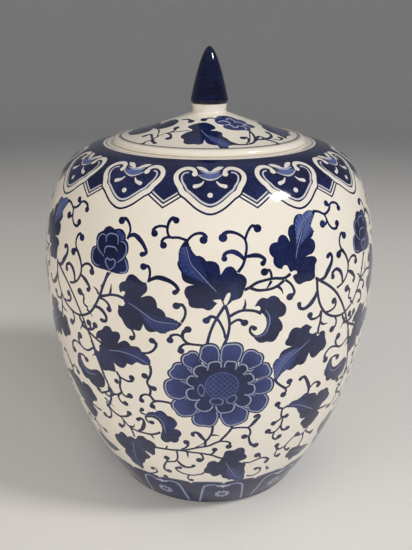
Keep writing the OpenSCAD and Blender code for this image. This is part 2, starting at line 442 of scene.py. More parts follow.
scroll.curl((16.4, 171), (14, 173.6), (10.5, 175.2), (7, 174.3), (6.7, 172), ball=1.4, swell=1.2)
scroll.curl((17, 172.5), (20, 172.9), (23.6, 172.6), (26.4, 170.6), (25.3, 168.9), ball=1.3, swell=1.0)
scroll.curl((29.5, 161), (29.4, 163), (28.5, 165.5), (26, 164.8), ball=1.9)
scroll.thorn((29.3, 160.3), (28.3, 158.5), (26.5, 156.5))
scroll.thorn((32.5, 157.3), (34.5, 155.5), (35.3, 153))
scroll.thorn((15.7, 147.3), (16.5, 150), (16.3, 152.8))
scroll.curl((7.3, 133), (6.5, 137), (4.8, 141), (3, 143.5), (0.5, 144.5), (-1.8, 142.4))
scroll.curl((9, 140), (11, 141.5), (13.5, 142.5), (16.3, 140.7), ball=1.8)
scroll.curl((-2, 129.3), (-6, 129.7), (-10.5, 130.3), (-13, 133), (-12.7, 136), (-10.5, 137.6), ball=1.8)
scroll.curl((-12.9, 133.2), (-15.5, 134.6), (-18.6, 133.8), (-19.2, 131.3))
scroll.curl((-9, 130), (-12.5, 129.6), (-14.5, 127.6), (-14, 126))
scroll.curl((21, 133.4), (19.4, 135.2), (19, 137), (19.8, 138.4), (21.3, 137.3), ball=1.2)
scroll.curl((-39, 134.5), (-37.6, 132), (-38, 129.8), (-39.2, 129.6), ball=1.4)
scroll.curl((-35, 122.2), (-30.5, 123), (-27.2, 125.6), (-26.2, 128.6), (-28.3, 130), ball=1.6)
scroll.curl((-31, 108.5), (-32.4, 109), (-33.5, 109.3), ball=1.8)
scroll.curl((-31.8, 104), (-30.5, 103.4), (-29, 102.5), ball=1.6)
scroll.curl((-31.7, 97.6), (-34, 97.9), (-36.3, 96.8), (-37.4, 95), (-37, 93.3), ball=1.6)
scroll.curl((-29.8, 94), (-31.4, 92.4), (-31, 90.8))
scroll.thorn((-31, 91), (-30, 89.8), (-29.3, 88.6))
scroll.curl((-48.5, 105), (-46.5, 104.4), (-44.5, 103.8), (-42.5, 104), (-41, 105), (-41.2, 106.5))
scroll.curl((-49, 100.6), (-50, 101.4), (-51.3, 101.7), ball=1.6)
scroll.curl((-49.3, 96), (-48, 94), (-46, 93.3), (-43.9, 94.5), ball=1.8)
scroll.curl((-57.5, 90.4), (-55.4, 91.6), (-55.8, 93.6), (-57.3, 94.5))
scroll.curl((-51.5, 93), (-52, 91), (-51, 89), (-49.5, 88), (-47.8, 88.3))
scroll.curl((-58, 78.5), (-55, 77.3), (-51, 78.3), (-48.5, 79.5), (-46.7, 82))
scroll.curl((-52.5, 74.8), (-53, 71), (-56, 69.7), ball=1.9)
scroll.thorn((-49, 71.8), (-46, 72.4), (-44.8, 74.8))
scroll.curl((-43, 70.3), (-40.5, 72), (-39, 74.5), (-38, 77), (-38, 79.5), (-39.5, 80.6), (-41.7, 79),
            ball=1.2, swell=1.4)
scroll.thorn((-34.8, 70), (-34.3, 68.4), (-33.3, 66.5))
scroll.curl((-62.5, 83), (-61, 78.5), (-62, 74.4), (-65, 72.2), (-67.6, 73.2), ball=1.8)
scroll.thorn((-63.4, 87), (-60.5, 85), (-57, 82.8))
scroll.curl((-36, 83), (-36.2, 81), (-35, 79.3), (-32.8, 79.3), ball=1.5)
scroll.curl((-36, 84), (-38.2, 84.6), (-38.8, 86), (-37.6, 87.2), ball=1.3)
scroll.curl((-2.5, 69.5), (-3.5, 71), (-5, 73), (-6.3, 75), (-8, 75.8), (-9.8, 75), (-9.4, 73.5),
            ball=1.0, swell=1.3)
scroll.thorn((0.8, 74), (3, 74), (5.5, 73.5))
scroll.curl((-17, 61.6), (-14, 63.6), (-12.6, 66.2), (-13.6, 67.8), ball=1.9)
scroll.curl((5.8, 69.3), (8, 69), (10.5, 68.5), (12, 67), (11.3, 64.5), ball=1.9)
scroll.curl((12.3, 78.5), (15, 78.7), (18, 78.4), (21.5, 77.7), (23, 75.5), (23.3, 73), (22.7, 71),
            (23, 69), (24, 66), (25.5, 63.8), (28, 63), ball=2.0)
scroll.curl((21.5, 78), (23, 79), (24.5, 81), (26, 83), (27.3, 84.5), (26.5, 86), (24.6, 85), ball=0.9,
            swell=1.3)
scroll.curl((22.8, 71.4), (21.6, 71.2), (20, 71.3), ball=1.9)
scroll.thorn((-27, 60), (-26.3, 61.5), (-25.6, 63.6))
scroll.thorn((-13.5, 59.5), (-13.5, 57), (-13.3, 54.5))
scroll.curl((-20.3, 60), (-20, 56), (-20.8, 52), (-22.5, 50), (-26, 49), (-28.5, 48.3), (-30, 46),
            (-31.3, 43.5), (-31.7, 40.5), (-30.5, 39), (-28.5, 39), ball=1.9)
scroll.curl((-26, 49), (-28, 49.6), (-27.8, 52), ball=2.0)
scroll.curl((-20.6, 51), (-19, 47.8), (-16, 45.8), (-12.4, 45.9), (-10.4, 47.6), ball=1.3, swell=1.3)
scroll.curl((-46, 31), (-44, 31.5), (-41, 33.3), (-39, 35), (-38.8, 37), (-40.5, 38.5), (-42.3, 37.3),
            ball=1.4)
scroll.dab(-33, 32, 2, 1.8)
scroll.curl((-6, 59.3), (-4.5, 57.5), (-4, 55.5), (-4.3, 53.5), (-6.5, 53.2), ball=2.1)
scroll.curl((0, 58.3), (1.5, 59), (3, 61), (3, 62.5))
scroll.curl((22, 49), (26, 48), (29, 48.7), (32.5, 50), (35, 50.2), (37.5, 49.6), (39.5, 48),
            (40.4, 46.5), (39.3, 45.3))
scroll.curl((33.3, 50.5), (33, 52.5), (30.8, 53.8), ball=2.2)
scroll.curl((-3.5, 41.6), (-5, 39.8), (-8, 38.8), (-12, 37.8), (-18, 38.6), (-22, 41), (-22.8, 43.5),
            (-19.8, 44.4), ball=1.4)
scroll.curl((-14, 38.2), (-15.6, 34.6), (-14.6, 32), (-13, 32.2), ball=1.5)
scroll.curl((27, 34.5), (31, 33.2), (35, 34.3), (37, 37), (36, 40), (32.8, 40.3), ball=1.6)
scroll.curl((41.5, 40.3), (41.8, 38), (43.3, 37), ball=1.3)
scroll.stem((33.2, 108), (35, 105), (38, 102.2), (40.6, 100.2))
scroll.curl((40.6, 100.2), (43, 101.6), (42.5, 104), ball=1.8)
scroll.curl((40.4, 100.4), (41.2, 98.4), (39.8, 96.4), ball=1.8)
scroll.curl((56.7, 91.5), (56.6, 96), (54.5, 100.6), (51.8, 104.4), (49.4, 103.6), ball=1.2, swell=1.2)
scroll.curl((57, 95.5), (60, 97.9), (63.4, 97.3), (64, 95.3), ball=1.8)
scroll.curl((44, 88.2), (41.6, 87), (38.4, 88.2), (37.2, 90.8), ball=1.8)
scroll.curl((41, 87), (40.7, 85.5), (40.8, 82.5), (42, 80.7), (44.5, 80.8), ball=1.6)
scroll.curl((41.2, 81.4), (41, 80), (39, 78.5), (36.8, 77.6))
scroll.curl((42.4, 80.6), (42.3, 77), (42.3, 74), (43.5, 71.5), (45.5, 70.2), (47.5, 71))
scroll.curl((42.2, 75), (39.8, 71.4), (36.3, 70.6), (34.2, 72.4), ball=1.9)
scroll.curl((38.7, 70.8), (38.3, 67), (39.8, 65), (41.5, 64.3), (43, 65.8), ball=1.9)
scroll.curl((64, 60.5), (60.5, 60.3), (56, 61), (54, 59.8), (52.3, 57.8), (51.2, 55.8), (49, 54.6),
            (46.5, 54.2), (44.5, 55.3), (43.5, 58.5), ball=1.8)
scroll.curl((60.5, 60.3), (59.4, 61.8), (57.7, 62.3), ball=1.9)
scroll.curl((51.3, 55.5), (51, 53.5), (52.5, 51.5), (54.5, 50.8))
scroll.curl((46, 54.3), (44.8, 53.5), (44.5, 50), (45.5, 48.3), (47.8, 48), ball=1.8)
scroll.curl((65, 62.5), (67.5, 60), (70.5, 58), (73.5, 57), ball=1.9)
scroll.curl((84.8, 117.5), (83, 116.8), (80.5, 115), (77.5, 114.3), (74.5, 115.3), (73, 117),
            (72.3, 119.5), (74, 121.5), ball=2.0)
scroll.curl((74, 115.6), (70, 116.7), (67.5, 116.3), (65.5, 114.8), (64.6, 112.5), (65.8, 110.2),
            ball=1.9)
scroll.curl((70, 109.2), (72.6, 109.9), (75, 109.7), (76.8, 108.1))
scroll.curl((92, 94), (88, 91.5), (84, 89.8), (82.5, 91.5))

# Lobed leaves: the edge, then the rib from the stem to the tip
scroll.leaf(
    [(58, 188.8), (56, 186.4), (54.2, 184), (53.8, 183), (53.8, 183), (55, 181.2), (54.4, 178.8),
     (52.8, 177.6), (52.8, 177.6), (54.6, 176.2), (55.2, 174), (54.4, 171.5), (52.5, 170.1),
     (50.5, 169.8), (48.8, 169.2), (48.8, 169.2), (51, 169.2), (54, 168.6), (55.5, 166.6),
     (54.2, 164.6), (54.2, 164.6), (53.8, 161.5), (53.8, 158.2), (53.8, 158.2), (51, 157), (51, 157),
     (48.6, 157.2), (46.5, 157), (46.5, 157), (44.4, 156.4), (42.3, 157.8), (40.6, 160.8),
     (40.6, 160.8), (41.4, 161.7), (43, 162), (42.9, 163.3), (41.2, 163.6), (39.8, 163), (39.8, 163),
     (38.8, 164.4), (37.9, 166.4), (36.4, 166.9), (35.4, 166), (35.3, 165.2), (35.3, 165.2),
     (33, 165.8), (31, 167.6), (30.6, 169.6), (30.8, 170.9), (30.8, 170.9), (29.1, 173), (28.8, 175.5),
     (30.2, 177.6), (33.5, 178.2), (33.5, 178.2), (34.2, 180.2), (36.2, 181.3), (38.2, 180.6),
     (39.4, 179), (40.2, 177.2), (40.2, 177.2), (40, 179.4), (39.5, 181.2), (40.1, 183.6), (41.4, 185),
     (43.3, 185.4), (43.3, 185.4), (43.9, 187.4), (45.6, 189.4), (48, 189.8), (50, 189.2), (50, 189.2),
     (52, 190.4), (54.6, 190.8), (57.2, 190), (58.6, 189.4)],
    [(43, 169.5), (44.2, 174), (46.6, 179), (50, 184.6), (56.5, 188.8)], (6, 6.6), (0.52, 0.58))
scroll.leaf(
    [(-10.8, 180.2), (-9.9, 178), (-8.4, 175.4), (-6.8, 173.4), (-6.8, 173.4), (-5, 173.4),
     (-3.2, 172.6), (-1.8, 171), (-1.8, 171), (0.2, 171.1), (2.4, 170.6), (4, 169.2), (4.6, 167.2),
     (4.9, 164.6), (4.9, 164.6), (6, 166.2), (7.2, 167.8), (9.1, 168.5), (11, 167.9), (12.2, 166.4),
     (13, 165), (13, 165), (14.8, 164.6), (16.7, 163), (17.3, 161), (16.8, 158.8), (15.9, 157.2),
     (15.9, 157.2), (15.5, 155.6), (14.7, 153.8), (13.2, 152.8), (10.2, 152), (10.2, 152), (7.6, 150.2),
     (7.6, 150.2), (8.8, 152.6), (9.5, 155.2), (9, 156.1), (8, 155.6), (6.9, 153.6), (6.4, 152),
     (6.4, 152), (5.4, 152.9), (3.8, 152.9), (1.4, 152.6), (1.4, 152.6), (2.2, 151.8), (3.4, 151),
     (3.4, 151), (2.2, 149.8), (0.6, 148), (-1.2, 147.6), (-3.5, 148.6), (-3.5, 148.6), (-5.8, 148.5),
     (-8.2, 148.8), (-9.8, 149.8), (-10.3, 152.5), (-10.3, 152.5), (-11.4, 154), (-12.1, 156),
     (-11.6, 158), (-10.3, 159.2), (-7.6, 159.8), (-7.6, 159.8), (-10.6, 160.5), (-12.5, 161.6),
     (-13.4, 163.5), (-13.6, 165.5), (-13.6, 165.5), (-14.8, 167.2), (-15.6, 169.4), (-15, 171.5),
     (-15, 171.5), (-15.1, 173.8), (-14.7, 176.2), (-13.4, 178.6), (-12, 180.2)],
    [(3, 156.6), (-1.5, 161.4), (-5, 165.2), (-9.2, 170), (-11.4, 177.5)], (5.6, 5), (0.74, 0.86))
scroll.leaf(
    [(-13.2, 140.4), (-15, 141.4), (-18, 142.8), (-21, 143.5), (-21, 143.5), (-21.5, 145.4),
     (-23, 146.9), (-25.1, 147.7), (-25.1, 147.7), (-25.3, 149.8), (-26.2, 151.8), (-28, 153),
     (-30, 153), (-33.4, 151.7), (-33.4, 151.7), (-32, 153.2), (-30.4, 154.8), (-29.9, 156.6),
     (-30.6, 159.3), (-30.6, 159.3), (-32.4, 159.4), (-34.2, 160.4), (-36, 161.7), (-38.1, 162.4),
     (-40, 161.7), (-41, 160.2), (-41.7, 158.6), (-41.7, 158.6), (-43.6, 157.9), (-45, 156.4),
     (-45.2, 154.5), (-44.5, 152.3), (-44.5, 152.3), (-43.3, 153.3), (-42.2, 153.4), (-41.8, 152.4),
     (-43, 150.6), (-43, 150.6), (-42.6, 148.6), (-42, 147.4), (-42.6, 146.2), (-44.2, 145.7),
     (-45.7, 146.2), (-45.7, 146.2), (-45.9, 144.2), (-46.3, 142), (-45.6, 140.2), (-44.2, 139),
     (-43.2, 137), (-41.6, 134.9), (-39.5, 134.1), (-37.4, 134.4), (-35.4, 134.1), (-33.8, 135),
     (-32.5, 138.2), (-32.5, 138.2), (-31.8, 136.4), (-30.6, 135), (-28.8, 134.4), (-25.8, 135.2),
     (-25.8, 135.2), (-24, 134.5), (-22, 134.6), (-19, 136.3), (-19, 136.3), (-17, 136.8), (-15, 138),
     (-13.6, 139.6)],
    [(-40, 148), (-36, 146.2), (-31.5, 143.6), (-26, 140.6), (-15, 140)], (3.6, 5.4), (0.9, 0.8))
scroll.leaf(
    [(21, 148.4), (22, 150.4), (23.1, 151.8), (24.9, 152.6), (27.2, 151.9), (27.2, 151.9), (29, 152.9),
     (31, 152.9), (33, 151.6), (34, 150), (34, 150), (35.4, 148.8), (36.9, 147), (37.3, 144.8),
     (36.8, 142.9), (35.3, 141.8), (33.2, 141.6), (33.2, 141.6), (34.1, 140.2), (35.3, 138.4),
     (35.8, 136.4), (35.4, 134.6), (34.2, 133.7), (34.2, 133.7), (33.6, 132.2), (32.3, 130.1),
     (30.5, 129), (27.6, 129.6), (27.6, 129.6), (26, 129.3), (24, 129.5), (22, 131.1), (20.8, 133),
     (20, 134.6), (20, 134.6), (22.6, 133.6), (25.2, 134.6), (26.6, 136.6), (27.2, 139), (26.8, 141.8),
     (25.6, 144), (23.4, 146), (23.4, 146), (23.9, 147.4), (23, 148.7), (21, 148.4)],
    [(26.4, 146.4), (28.6, 142.4), (28.4, 137.6), (26, 133.6), (21.6, 133)], (0.9, 7.6), (0.6, 0.6))
scroll.leaf(
    [(34.2, 105.8), (36, 108.4), (37.8, 110.4), (39.8, 111.6), (39.8, 111.6), (42, 111), (44, 111.7),
     (46, 113.2), (46, 113.2), (48, 112.4), (50, 112.8), (51.2, 114.1), (51.8, 116), (52.8, 118.4),
     (52.8, 118.4), (53.4, 117), (54.3, 115.4), (56, 114.5), (58, 114.9), (59.5, 116), (59.5, 116),
     (60.8, 117), (62.6, 117.3), (64.2, 118.9), (64.5, 120.8), (63.6, 123), (62.9, 125), (62.7, 126.8),
     (61.6, 128.4), (60, 128.7), (58.5, 128.3), (58.5, 128.3), (58.3, 127.2), (57.5, 126.6),
     (56.8, 127.2), (56.2, 129.2), (56.2, 129.2), (54.4, 128.7), (52.6, 129.2), (51.6, 130.2),
     (51.9, 131.4), (53.3, 132.7), (53.3, 132.7), (51.8, 133.5), (50.4, 134.6), (48.6, 135),
     (45.8, 133.6), (45.8, 133.6), (44, 134.5), (42, 134.5), (40.4, 133.5), (39.4, 131.5), (39, 129.8),
     (38, 128.6), (37.6, 127.2), (38.3, 125.8), (41.5, 124.6), (41.5, 124.6), (39, 124), (36.8, 123.3),
     (35.3, 121.6), (34.8, 119.7), (34.8, 119.7), (33.2, 118.7), (32, 117), (31.7, 115), (32.4, 112.4),
     (32.8, 110), (33.2, 107.4)],
    [(52.5, 125.8), (47.5, 122.6), (42, 119.2), (37, 114.6), (34.4, 107.6)], (6, 5.2), (0.74, 0.62))
scroll.leaf(
    [(-30.2, 116), (-29.7, 117.6), (-30, 119.6), (-31.6, 121.4), (-33.8, 122.4), (-33.8, 122.4),
     (-34.6, 124.1), (-36.1, 125.4), (-40, 125.2), (-40, 125.2), (-40.9, 126.5), (-42.6, 127.5),
     (-44.5, 127), (-47.6, 125), (-47.6, 125), (-46.3, 127.4), (-45.7, 129.2), (-46.2, 130.9),
     (-47.8, 131.4), (-50.3, 130.8), (-50.3, 130.8), (-51.1, 132.4), (-52.6, 133.2), (-54.6, 132.9),
     (-56.2, 131.5), (-57, 130.2), (-57, 130.2), (-59, 129.3), (-60.8, 127.8), (-61.6, 126),
     (-61.8, 123.8), (-61.8, 123.8), (-60.4, 124.5), (-59.1, 124.5), (-58.4, 123.2), (-58.8, 121.6),
     (-60.4, 120.2), (-60.2, 118.4), (-61.2, 116.6), (-63, 117.5), (-63, 117.5), (-64.4, 116.2),
     (-64.8, 114.4), (-63.8, 112.7), (-63, 111.4), (-62.6, 109.5), (-61.5, 107.2), (-59.5, 106),
     (-57.4, 106.3), (-55.3, 107), (-51, 107.3), (-51, 107.3), (-50.8, 109.4), (-51.3, 113),
     (-51.3, 113), (-50, 112), (-48.5, 111.2), (-46.4, 111), (-44.6, 112), (-42.9, 114.6),
     (-42.9, 114.6), (-41.4, 114.2), (-40, 114.3), (-38, 116.3), (-38, 116.3), (-36.4, 116.4),
     (-34.4, 115.7), (-32.2, 115.8)],
    [(-54, 119.4), (-48, 120.5), (-42.5, 120.5), (-36.5, 119.2), (-31, 116.6)], (4.6, 4.2))
scroll.leaf(
    [(-36, 83), (-35.4, 84.8), (-33.8, 86.2), (-31.6, 87), (-29.6, 87.1), (-29.6, 87.1), (-28, 88.6),
     (-26, 88.8), (-24.3, 87.7), (-23, 86), (-23, 86), (-21, 85.6), (-19, 84), (-17.8, 81.5),
     (-18.5, 79.1), (-20, 77.4), (-20, 77.4), (-18.2, 77), (-16.5, 76), (-15.9, 74), (-16.8, 72),
     (-17.8, 70.8), (-17.8, 70.8), (-18, 68.6), (-19.4, 66.8), (-21.4, 66.4), (-23.2, 66.9),
     (-23.2, 66.9), (-25, 65.8), (-27, 65.8), (-28.6, 67.2), (-29, 69.2), (-28.4, 71.6), (-28.4, 71.6),
     (-27.4, 74.4), (-27.2, 77.4), (-28.2, 80.4), (-30, 82.3), (-32.5, 82.9), (-34.4, 82.4)],
    [(-25.4, 72.6), (-25.6, 77), (-26.6, 81.4), (-30, 84.6), (-35, 84)], (1, 5))
scroll.leaf(
    [(-47, 62.6), (-45.2, 65.3), (-43, 66.5), (-40.6, 66.8), (-39, 65), (-39, 65), (-36, 64.4),
     (-33.7, 62.6), (-33.3, 60.3), (-34.6, 58), (-35, 56), (-35.2, 54), (-36.4, 52.3), (-38, 51.8),
     (-39.8, 53), (-43, 54), (-43, 54), (-41.4, 52), (-40, 50.2), (-40.4, 48.3), (-42.2, 46.8),
     (-42.2, 46.8), (-44.6, 45.5), (-46, 43.2), (-47, 41.3), (-47, 41.3), (-49, 40), (-50, 37.6),
     (-50.4, 35.2), (-51.2, 33.4), (-53.4, 32.8), (-56, 34.4), (-56, 34.4), (-58.6, 35.4),
     (-60.4, 37.4), (-60.6, 40), (-60.6, 40), (-62.4, 41.8), (-63, 44.4), (-62, 46.8), (-60.6, 48.4),
     (-60.6, 48.4), (-63.4, 49.6), (-65.6, 52), (-66.4, 55), (-65.8, 58.4), (-63.4, 60.2),
     (-60.6, 61.2), (-60.6, 61.2), (-59.4, 63.2), (-57, 64.4), (-55, 63.6), (-53.4, 61.8),
     (-53.4, 61.8), (-52, 62.8), (-50.4, 63.4), (-49, 63)],
    [(-50.2, 59), (-51.8, 53), (-53, 47), (-53.4, 41), (-52.6, 34.6)], (6, 6))
scroll.leaf(
    [(25, 31), (25.6, 33.8), (24.9, 36.6), (25.2, 38.6), (24.4, 41), (24.4, 41), (23.8, 43.5),
     (24.2, 46), (23.4, 48.2), (21.4, 49), (18.9, 50.4), (18.9, 50.4), (20.6, 51.2), (22.6, 51.9),
     (23.8, 53.5), (23.2, 55.6), (21.9, 57), (21.9, 57), (21.8, 59.4), (21, 61.7), (19, 62.9),
     (16.8, 62.5), (15, 61.4), (15, 61.4), (13.4, 61.2), (11.4, 61.4), (9.5, 60.5), (8.7, 58.6),
     (8.5, 56.6), (7.4, 55), (7.4, 55), (6.8, 53.4), (6, 51.6), (5, 51.4), (4, 52.2), (2.6, 53),
     (2.6, 53), (0.8, 52.3), (-0.8, 51.2), (-1.6, 49.4), (-2.2, 46.8), (-2.2, 46.8), (-3.4, 45),
     (-3.8, 42.6), (-3, 41), (-0.8, 40.4), (-0.8, 40.4), (0.6, 39.6), (1.6, 38), (3.2, 37.2),
     (5.2, 37.6), (8, 39.2), (8, 39.2), (8.5, 37), (9.6, 35.2), (11.8, 34.2), (11.8, 34.2), (14, 32.6),
     (16.8, 32.2), (16.8, 32.2), (19, 31), (22, 31)],
    [(10.4, 51), (12.4, 46.6), (15, 41.4), (18.6, 36), (23.4, 31.8)], (6.4, 6), (0.78, 0.78))
scroll.leaf(
    [(43.4, 87.2), (45.6, 89.6), (47.6, 90.3), (49.6, 90.2), (49.6, 90.2), (52, 91.2), (54, 92.6),
     (56.6, 93), (57, 91.8), (57, 91.8), (60, 91.3), (62.6, 90.6), (64, 89.3), (64.9, 87.6),
     (64.9, 87.6), (65.8, 89.5), (67.6, 90.3), (70, 90), (70, 90), (72.6, 90.2), (75, 88.4), (76, 86),
     (76, 86), (77.6, 84.4), (77.8, 82), (76, 80.4), (73.6, 79.6), (72, 78), (71.2, 76.4), (71.2, 76.4),
     (70.4, 75), (72.6, 73), (73.2, 70.6), (71.4, 68.6), (71.4, 68.6), (70, 66.4), (67.8, 65),
     (65.6, 65), (65.6, 65), (63.6, 63.9), (62, 65), (60.6, 67), (60.6, 67), (58.6, 69), (57.3, 71),
     (58.4, 73), (60.2, 73.8), (60.2, 73.8), (58.6, 74.2), (57, 74.5), (55.4, 75.6), (54.5, 77.5),
     (54.5, 77.5), (53.9, 79.6), (52.2, 81.2), (52.2, 81.2), (51.4, 83.2), (50, 84.6), (48, 85.6),
     (45.5, 86.4)],
    [(65, 78.4), (60, 81.4), (55, 84.4), (50.6, 86.6), (45, 87.6)], (4.4, 4.6))
scroll.leaf(
    [(69.8, 109.6), (68.2, 107.4), (67.5, 105), (66.8, 102.6), (67.2, 100.4), (68.8, 99), (68.8, 99),
     (69.4, 97), (70.6, 95.3), (72.6, 94.7), (75, 95.2), (75, 95.2), (76.2, 93.6), (78.6, 92.4),
     (81, 92), (83.2, 93), (83.2, 93), (85.4, 93.4), (87.8, 94.8), (89, 97.2), (89.4, 100.6),
     (89.4, 100.6), (87.8, 103.2), (85, 104.6), (82, 103.8), (79, 102.6), (76, 102.4), (73.8, 103.3),
     (72.5, 105), (71.8, 107.2), (71.6, 109.4)],
    [(83, 101), (77.4, 99.8), (73, 101.2), (70.4, 104.6), (70.4, 108)], (4, 1))
scroll.leaf(
    [(55.4, 44.2), (56.2, 46.6), (57, 49), (59, 50.2), (62, 49.4), (62, 49.4), (64.8, 49.8),
     (67.2, 48.3), (69.4, 46.6), (69.4, 46.6), (73, 46.2), (76.4, 45), (80, 43), (80, 43), (77.4, 41.2),
     (74.6, 40.2), (74.6, 40.2), (72.4, 38.2), (69.4, 37.8), (66.4, 38.4), (66.4, 38.4), (63.8, 36.6),
     (61.4, 38), (60, 40.6), (60, 40.6), (57.6, 41.4), (56, 42.8)],
    [(58.4, 46), (63.4, 45), (68, 43.6), (72.6, 42.8), (78, 42.8)], (2.6, 3.2))

# The blossom: pale-edged petals round a ring of full dark ones and a netted seed head
HEART = (5.6, 105.6)
OUTER_TONES, OUTER_STEPS = (DEEP, 0.34, 0.96, 0.76), (-0.25, 0.75, 0.7, 0.45)
INNER_TONES, INNER_STEPS = (DEEP, 0.32, DEEP), (-0.2, 0.45, 0.7)
SEED_TONES, SEED_STEPS = (DEEP, 0.5, DEEP), (-0.3, 0.35, 0.6)
STREAK_W, STREAK_TONE, STREAK_APART = 0.8, 0.95, 0.065
SEED_AT, SEED_NET, SEED_NET_R = (6, 106.4), 2, 7.6
NET_W, NET_TONE = [0.4, 0.45, 0.4], 0.74
for edge in ([(20, 91), (20.8, 86.4), (20, 83.2), (17.2, 81.4), (14, 80.4), (11, 79.8), (8.4, 81),
              (6.2, 84.4), (5, 89)],
             [(4.6, 89), (4.2, 84.4), (2.4, 81), (-0.2, 79.8), (-3, 80.4), (-6, 80.4), (-8.8, 82),
              (-9.8, 85), (-8.8, 88.4), (-6, 91)],
             [(-6.6, 90), (-9, 87.4), (-11.6, 86.6), (-14.6, 86.2), (-17.4, 87.6), (-18.4, 89.8),
              (-20.2, 92), (-20.2, 95), (-18, 97.8), (-14, 99)],
             [(20, 92), (20.6, 89.6), (23, 88.2), (26, 87.5), (28.6, 88.6), (30.6, 91.4), (31.5, 95),
              (30.4, 97.8), (27, 100.4)],
             [(-14, 97.8), (-18.4, 97.4), (-21.2, 98.4), (-23, 101), (-23.6, 104.2), (-23.2, 107.5),
              (-21, 109.5), (-16, 110.6)],
             [(24, 99.6), (29, 99.4), (32, 100.4), (33.3, 103.2), (33, 106.2), (31.4, 108.8),
              (27, 109.8)],
             [(-15, 109.4), (-19, 110), (-20.9, 112), (-20.8, 114.2), (-19, 116), (-18, 118.4),
              (-15.8, 119.6), (-12, 119)],
             [(25, 109.4), (29.4, 109.2), (31.4, 110.8), (31.6, 113.2), (30.4, 115.2), (29.6, 117.2),
              (27.4, 118.2), (23, 117.6)],
             [(-12, 117.6), (-13.8, 119.6), (-14.2, 122), (-13, 124.2), (-11, 125), (-9.8, 126.2),
              (-7.4, 126.4), (-5.4, 125), (-4.6, 121)],
             [(24.6, 116.4), (26.4, 119.2), (26.6, 121.6), (25.4, 123.6), (23.6, 124.4), (22.4, 125.6),
              (20, 126.5), (17.6, 126), (15.4, 123)],
             [(-5, 121.6), (-5, 125), (-4.6, 128), (-2.8, 130), (0, 130.6), (2.6, 130), (4.3, 128),
              (4.9, 124.6), (4.8, 121)],
             [(4.8, 121), (4.9, 125), (5.4, 128.2), (7, 130.3), (10, 130.7), (13.4, 130.5), (15.5, 129),
              (16.2, 126.4), (15.6, 123.4), (14, 120)]):
    far = np.array(edge).mean(axis=0)
    root = tuple(np.array(HEART) + 0.45 * (far - HEART))
    scroll.petal(edge, root, OUTER_TONES, OUTER_STEPS)
    for k in (-2, -1, 0, 1, 2):
        side = np.array([HEART[1] - far[1], far[0] - HEART[0]]) * STREAK_APART * k
        low, tip = (np.array(HEART) + f * (far + side * s - HEART)
                    for f, s in ((0.66, 0.7), (1.1 - 0.02 * k * k, 1.15)))
        scroll.hatch(low, tip, STREAK_W, STREAK_TONE)
scroll.dab(5.4, 105.2, 17, 15)
for edge in ([(13.2, 95), (13, 91.6), (11.2, 89.7), (8, 89.1), (5, 89.3), (3.2, 91.4), (2.8, 95)],
             [(2.2, 95), (0.8, 91.6), (-2.4, 90.1), (-5.6, 90.9), (-7.8, 93), (-7.9, 95.6), (-5, 98.6)],
             [(-5, 97.6), (-7.6, 97.2), (-10.6, 97.5), (-12.1, 99.5), (-12.6, 102.4), (-11.5, 104.6),
              (-8, 105.4)],
             [(16, 101), (19.6, 100), (21.6, 98.4), (22.1, 96), (20.8, 93.4), (18, 92), (15, 92.8),
              (12, 96)],
             [(-6, 105), (-8.6, 105.4), (-11.2, 106.8), (-12.3, 109), (-11.3, 111.5), (-9.4, 112.9),
              (-6, 112)],
             [(15, 107.6), (20, 107.1), (22.6, 106.3), (23.6, 104), (23.5, 101.4), (22, 99.9),
              (18, 99.6)],
             [(-5, 111.4), (-7.6, 112.4), (-8.7, 114.8), (-8, 117), (-6, 118.6), (-3.4, 119.1),
              (-1, 117.6), (0, 114)],
             [(14, 112), (17.8, 113), (20, 113.3), (21.9, 112), (22.9, 109.5), (22.2, 107.6),
              (18, 106.8)],
             [(11, 114), (12.8, 117.2), (14.4, 118.7), (16.5, 119.1), (18.6, 117.6), (19.3, 115.2),
              (18, 113.2), (14, 111.6)],
             [(-1.4, 114), (-1.4, 118), (-0.8, 120.1), (1, 120.9), (3.6, 121.3), (5.4, 120.5),
              (6, 118.4), (6, 114)],
             [(6.2, 114), (6.6, 117.8), (7, 120), (8.6, 121.3), (11, 120.9), (12.8, 120.6),
              (13.5, 118.4), (12.4, 114)]):
    far = np.array(edge).mean(axis=0)
    root = tuple(np.array(HEART) + 0.6 * (far - HEART))
    scroll.petal(edge, root, INNER_TONES, INNER_STEPS)
scroll.dab(*HEART, 13.6, 11.8)
scroll.dab(*SEED_AT, 8.6, 8.2, 0.68)
scroll.dab(*SEED_AT, 8.1, 7.7, 0.94)
for k in range(-3, 4):
    reach = math.sqrt(SEED_NET_R ** 2 - (SEED_NET * k) ** 2)
    for s in (1, -1):
        u = np.array([math.cos(math.pi / 4), s * math.sin(math.pi / 4)])
        v = np.array([-u[1], u[0]])
        scroll.stroke([SEED_AT + u * h + v * SEED_NET * k for h in (-reach, 0, reach)], NET_W, NET_TONE)
for edge in ([(-0.4, 97), (0.6, 98.9), (3, 99.2), (6, 98.9), (7.2, 97), (6.4, 95), (3.6, 94.7),
              (0.8, 95.2)],
             [(8.2, 98.4), (9.8, 99.6), (12, 101.1), (14, 99.8), (13.6, 97), (11.2, 95), (8.8, 96)],
             [(-5.6, 107), (-4.5, 107.8), (-3.2, 106.6), (-2.6, 103.6), (-3.4, 100), (-5.6, 101.4),
              (-6.4, 104.4)]):
    scroll.petal(edge[1:], edge[0], SEED_TONES, SEED_STEPS)

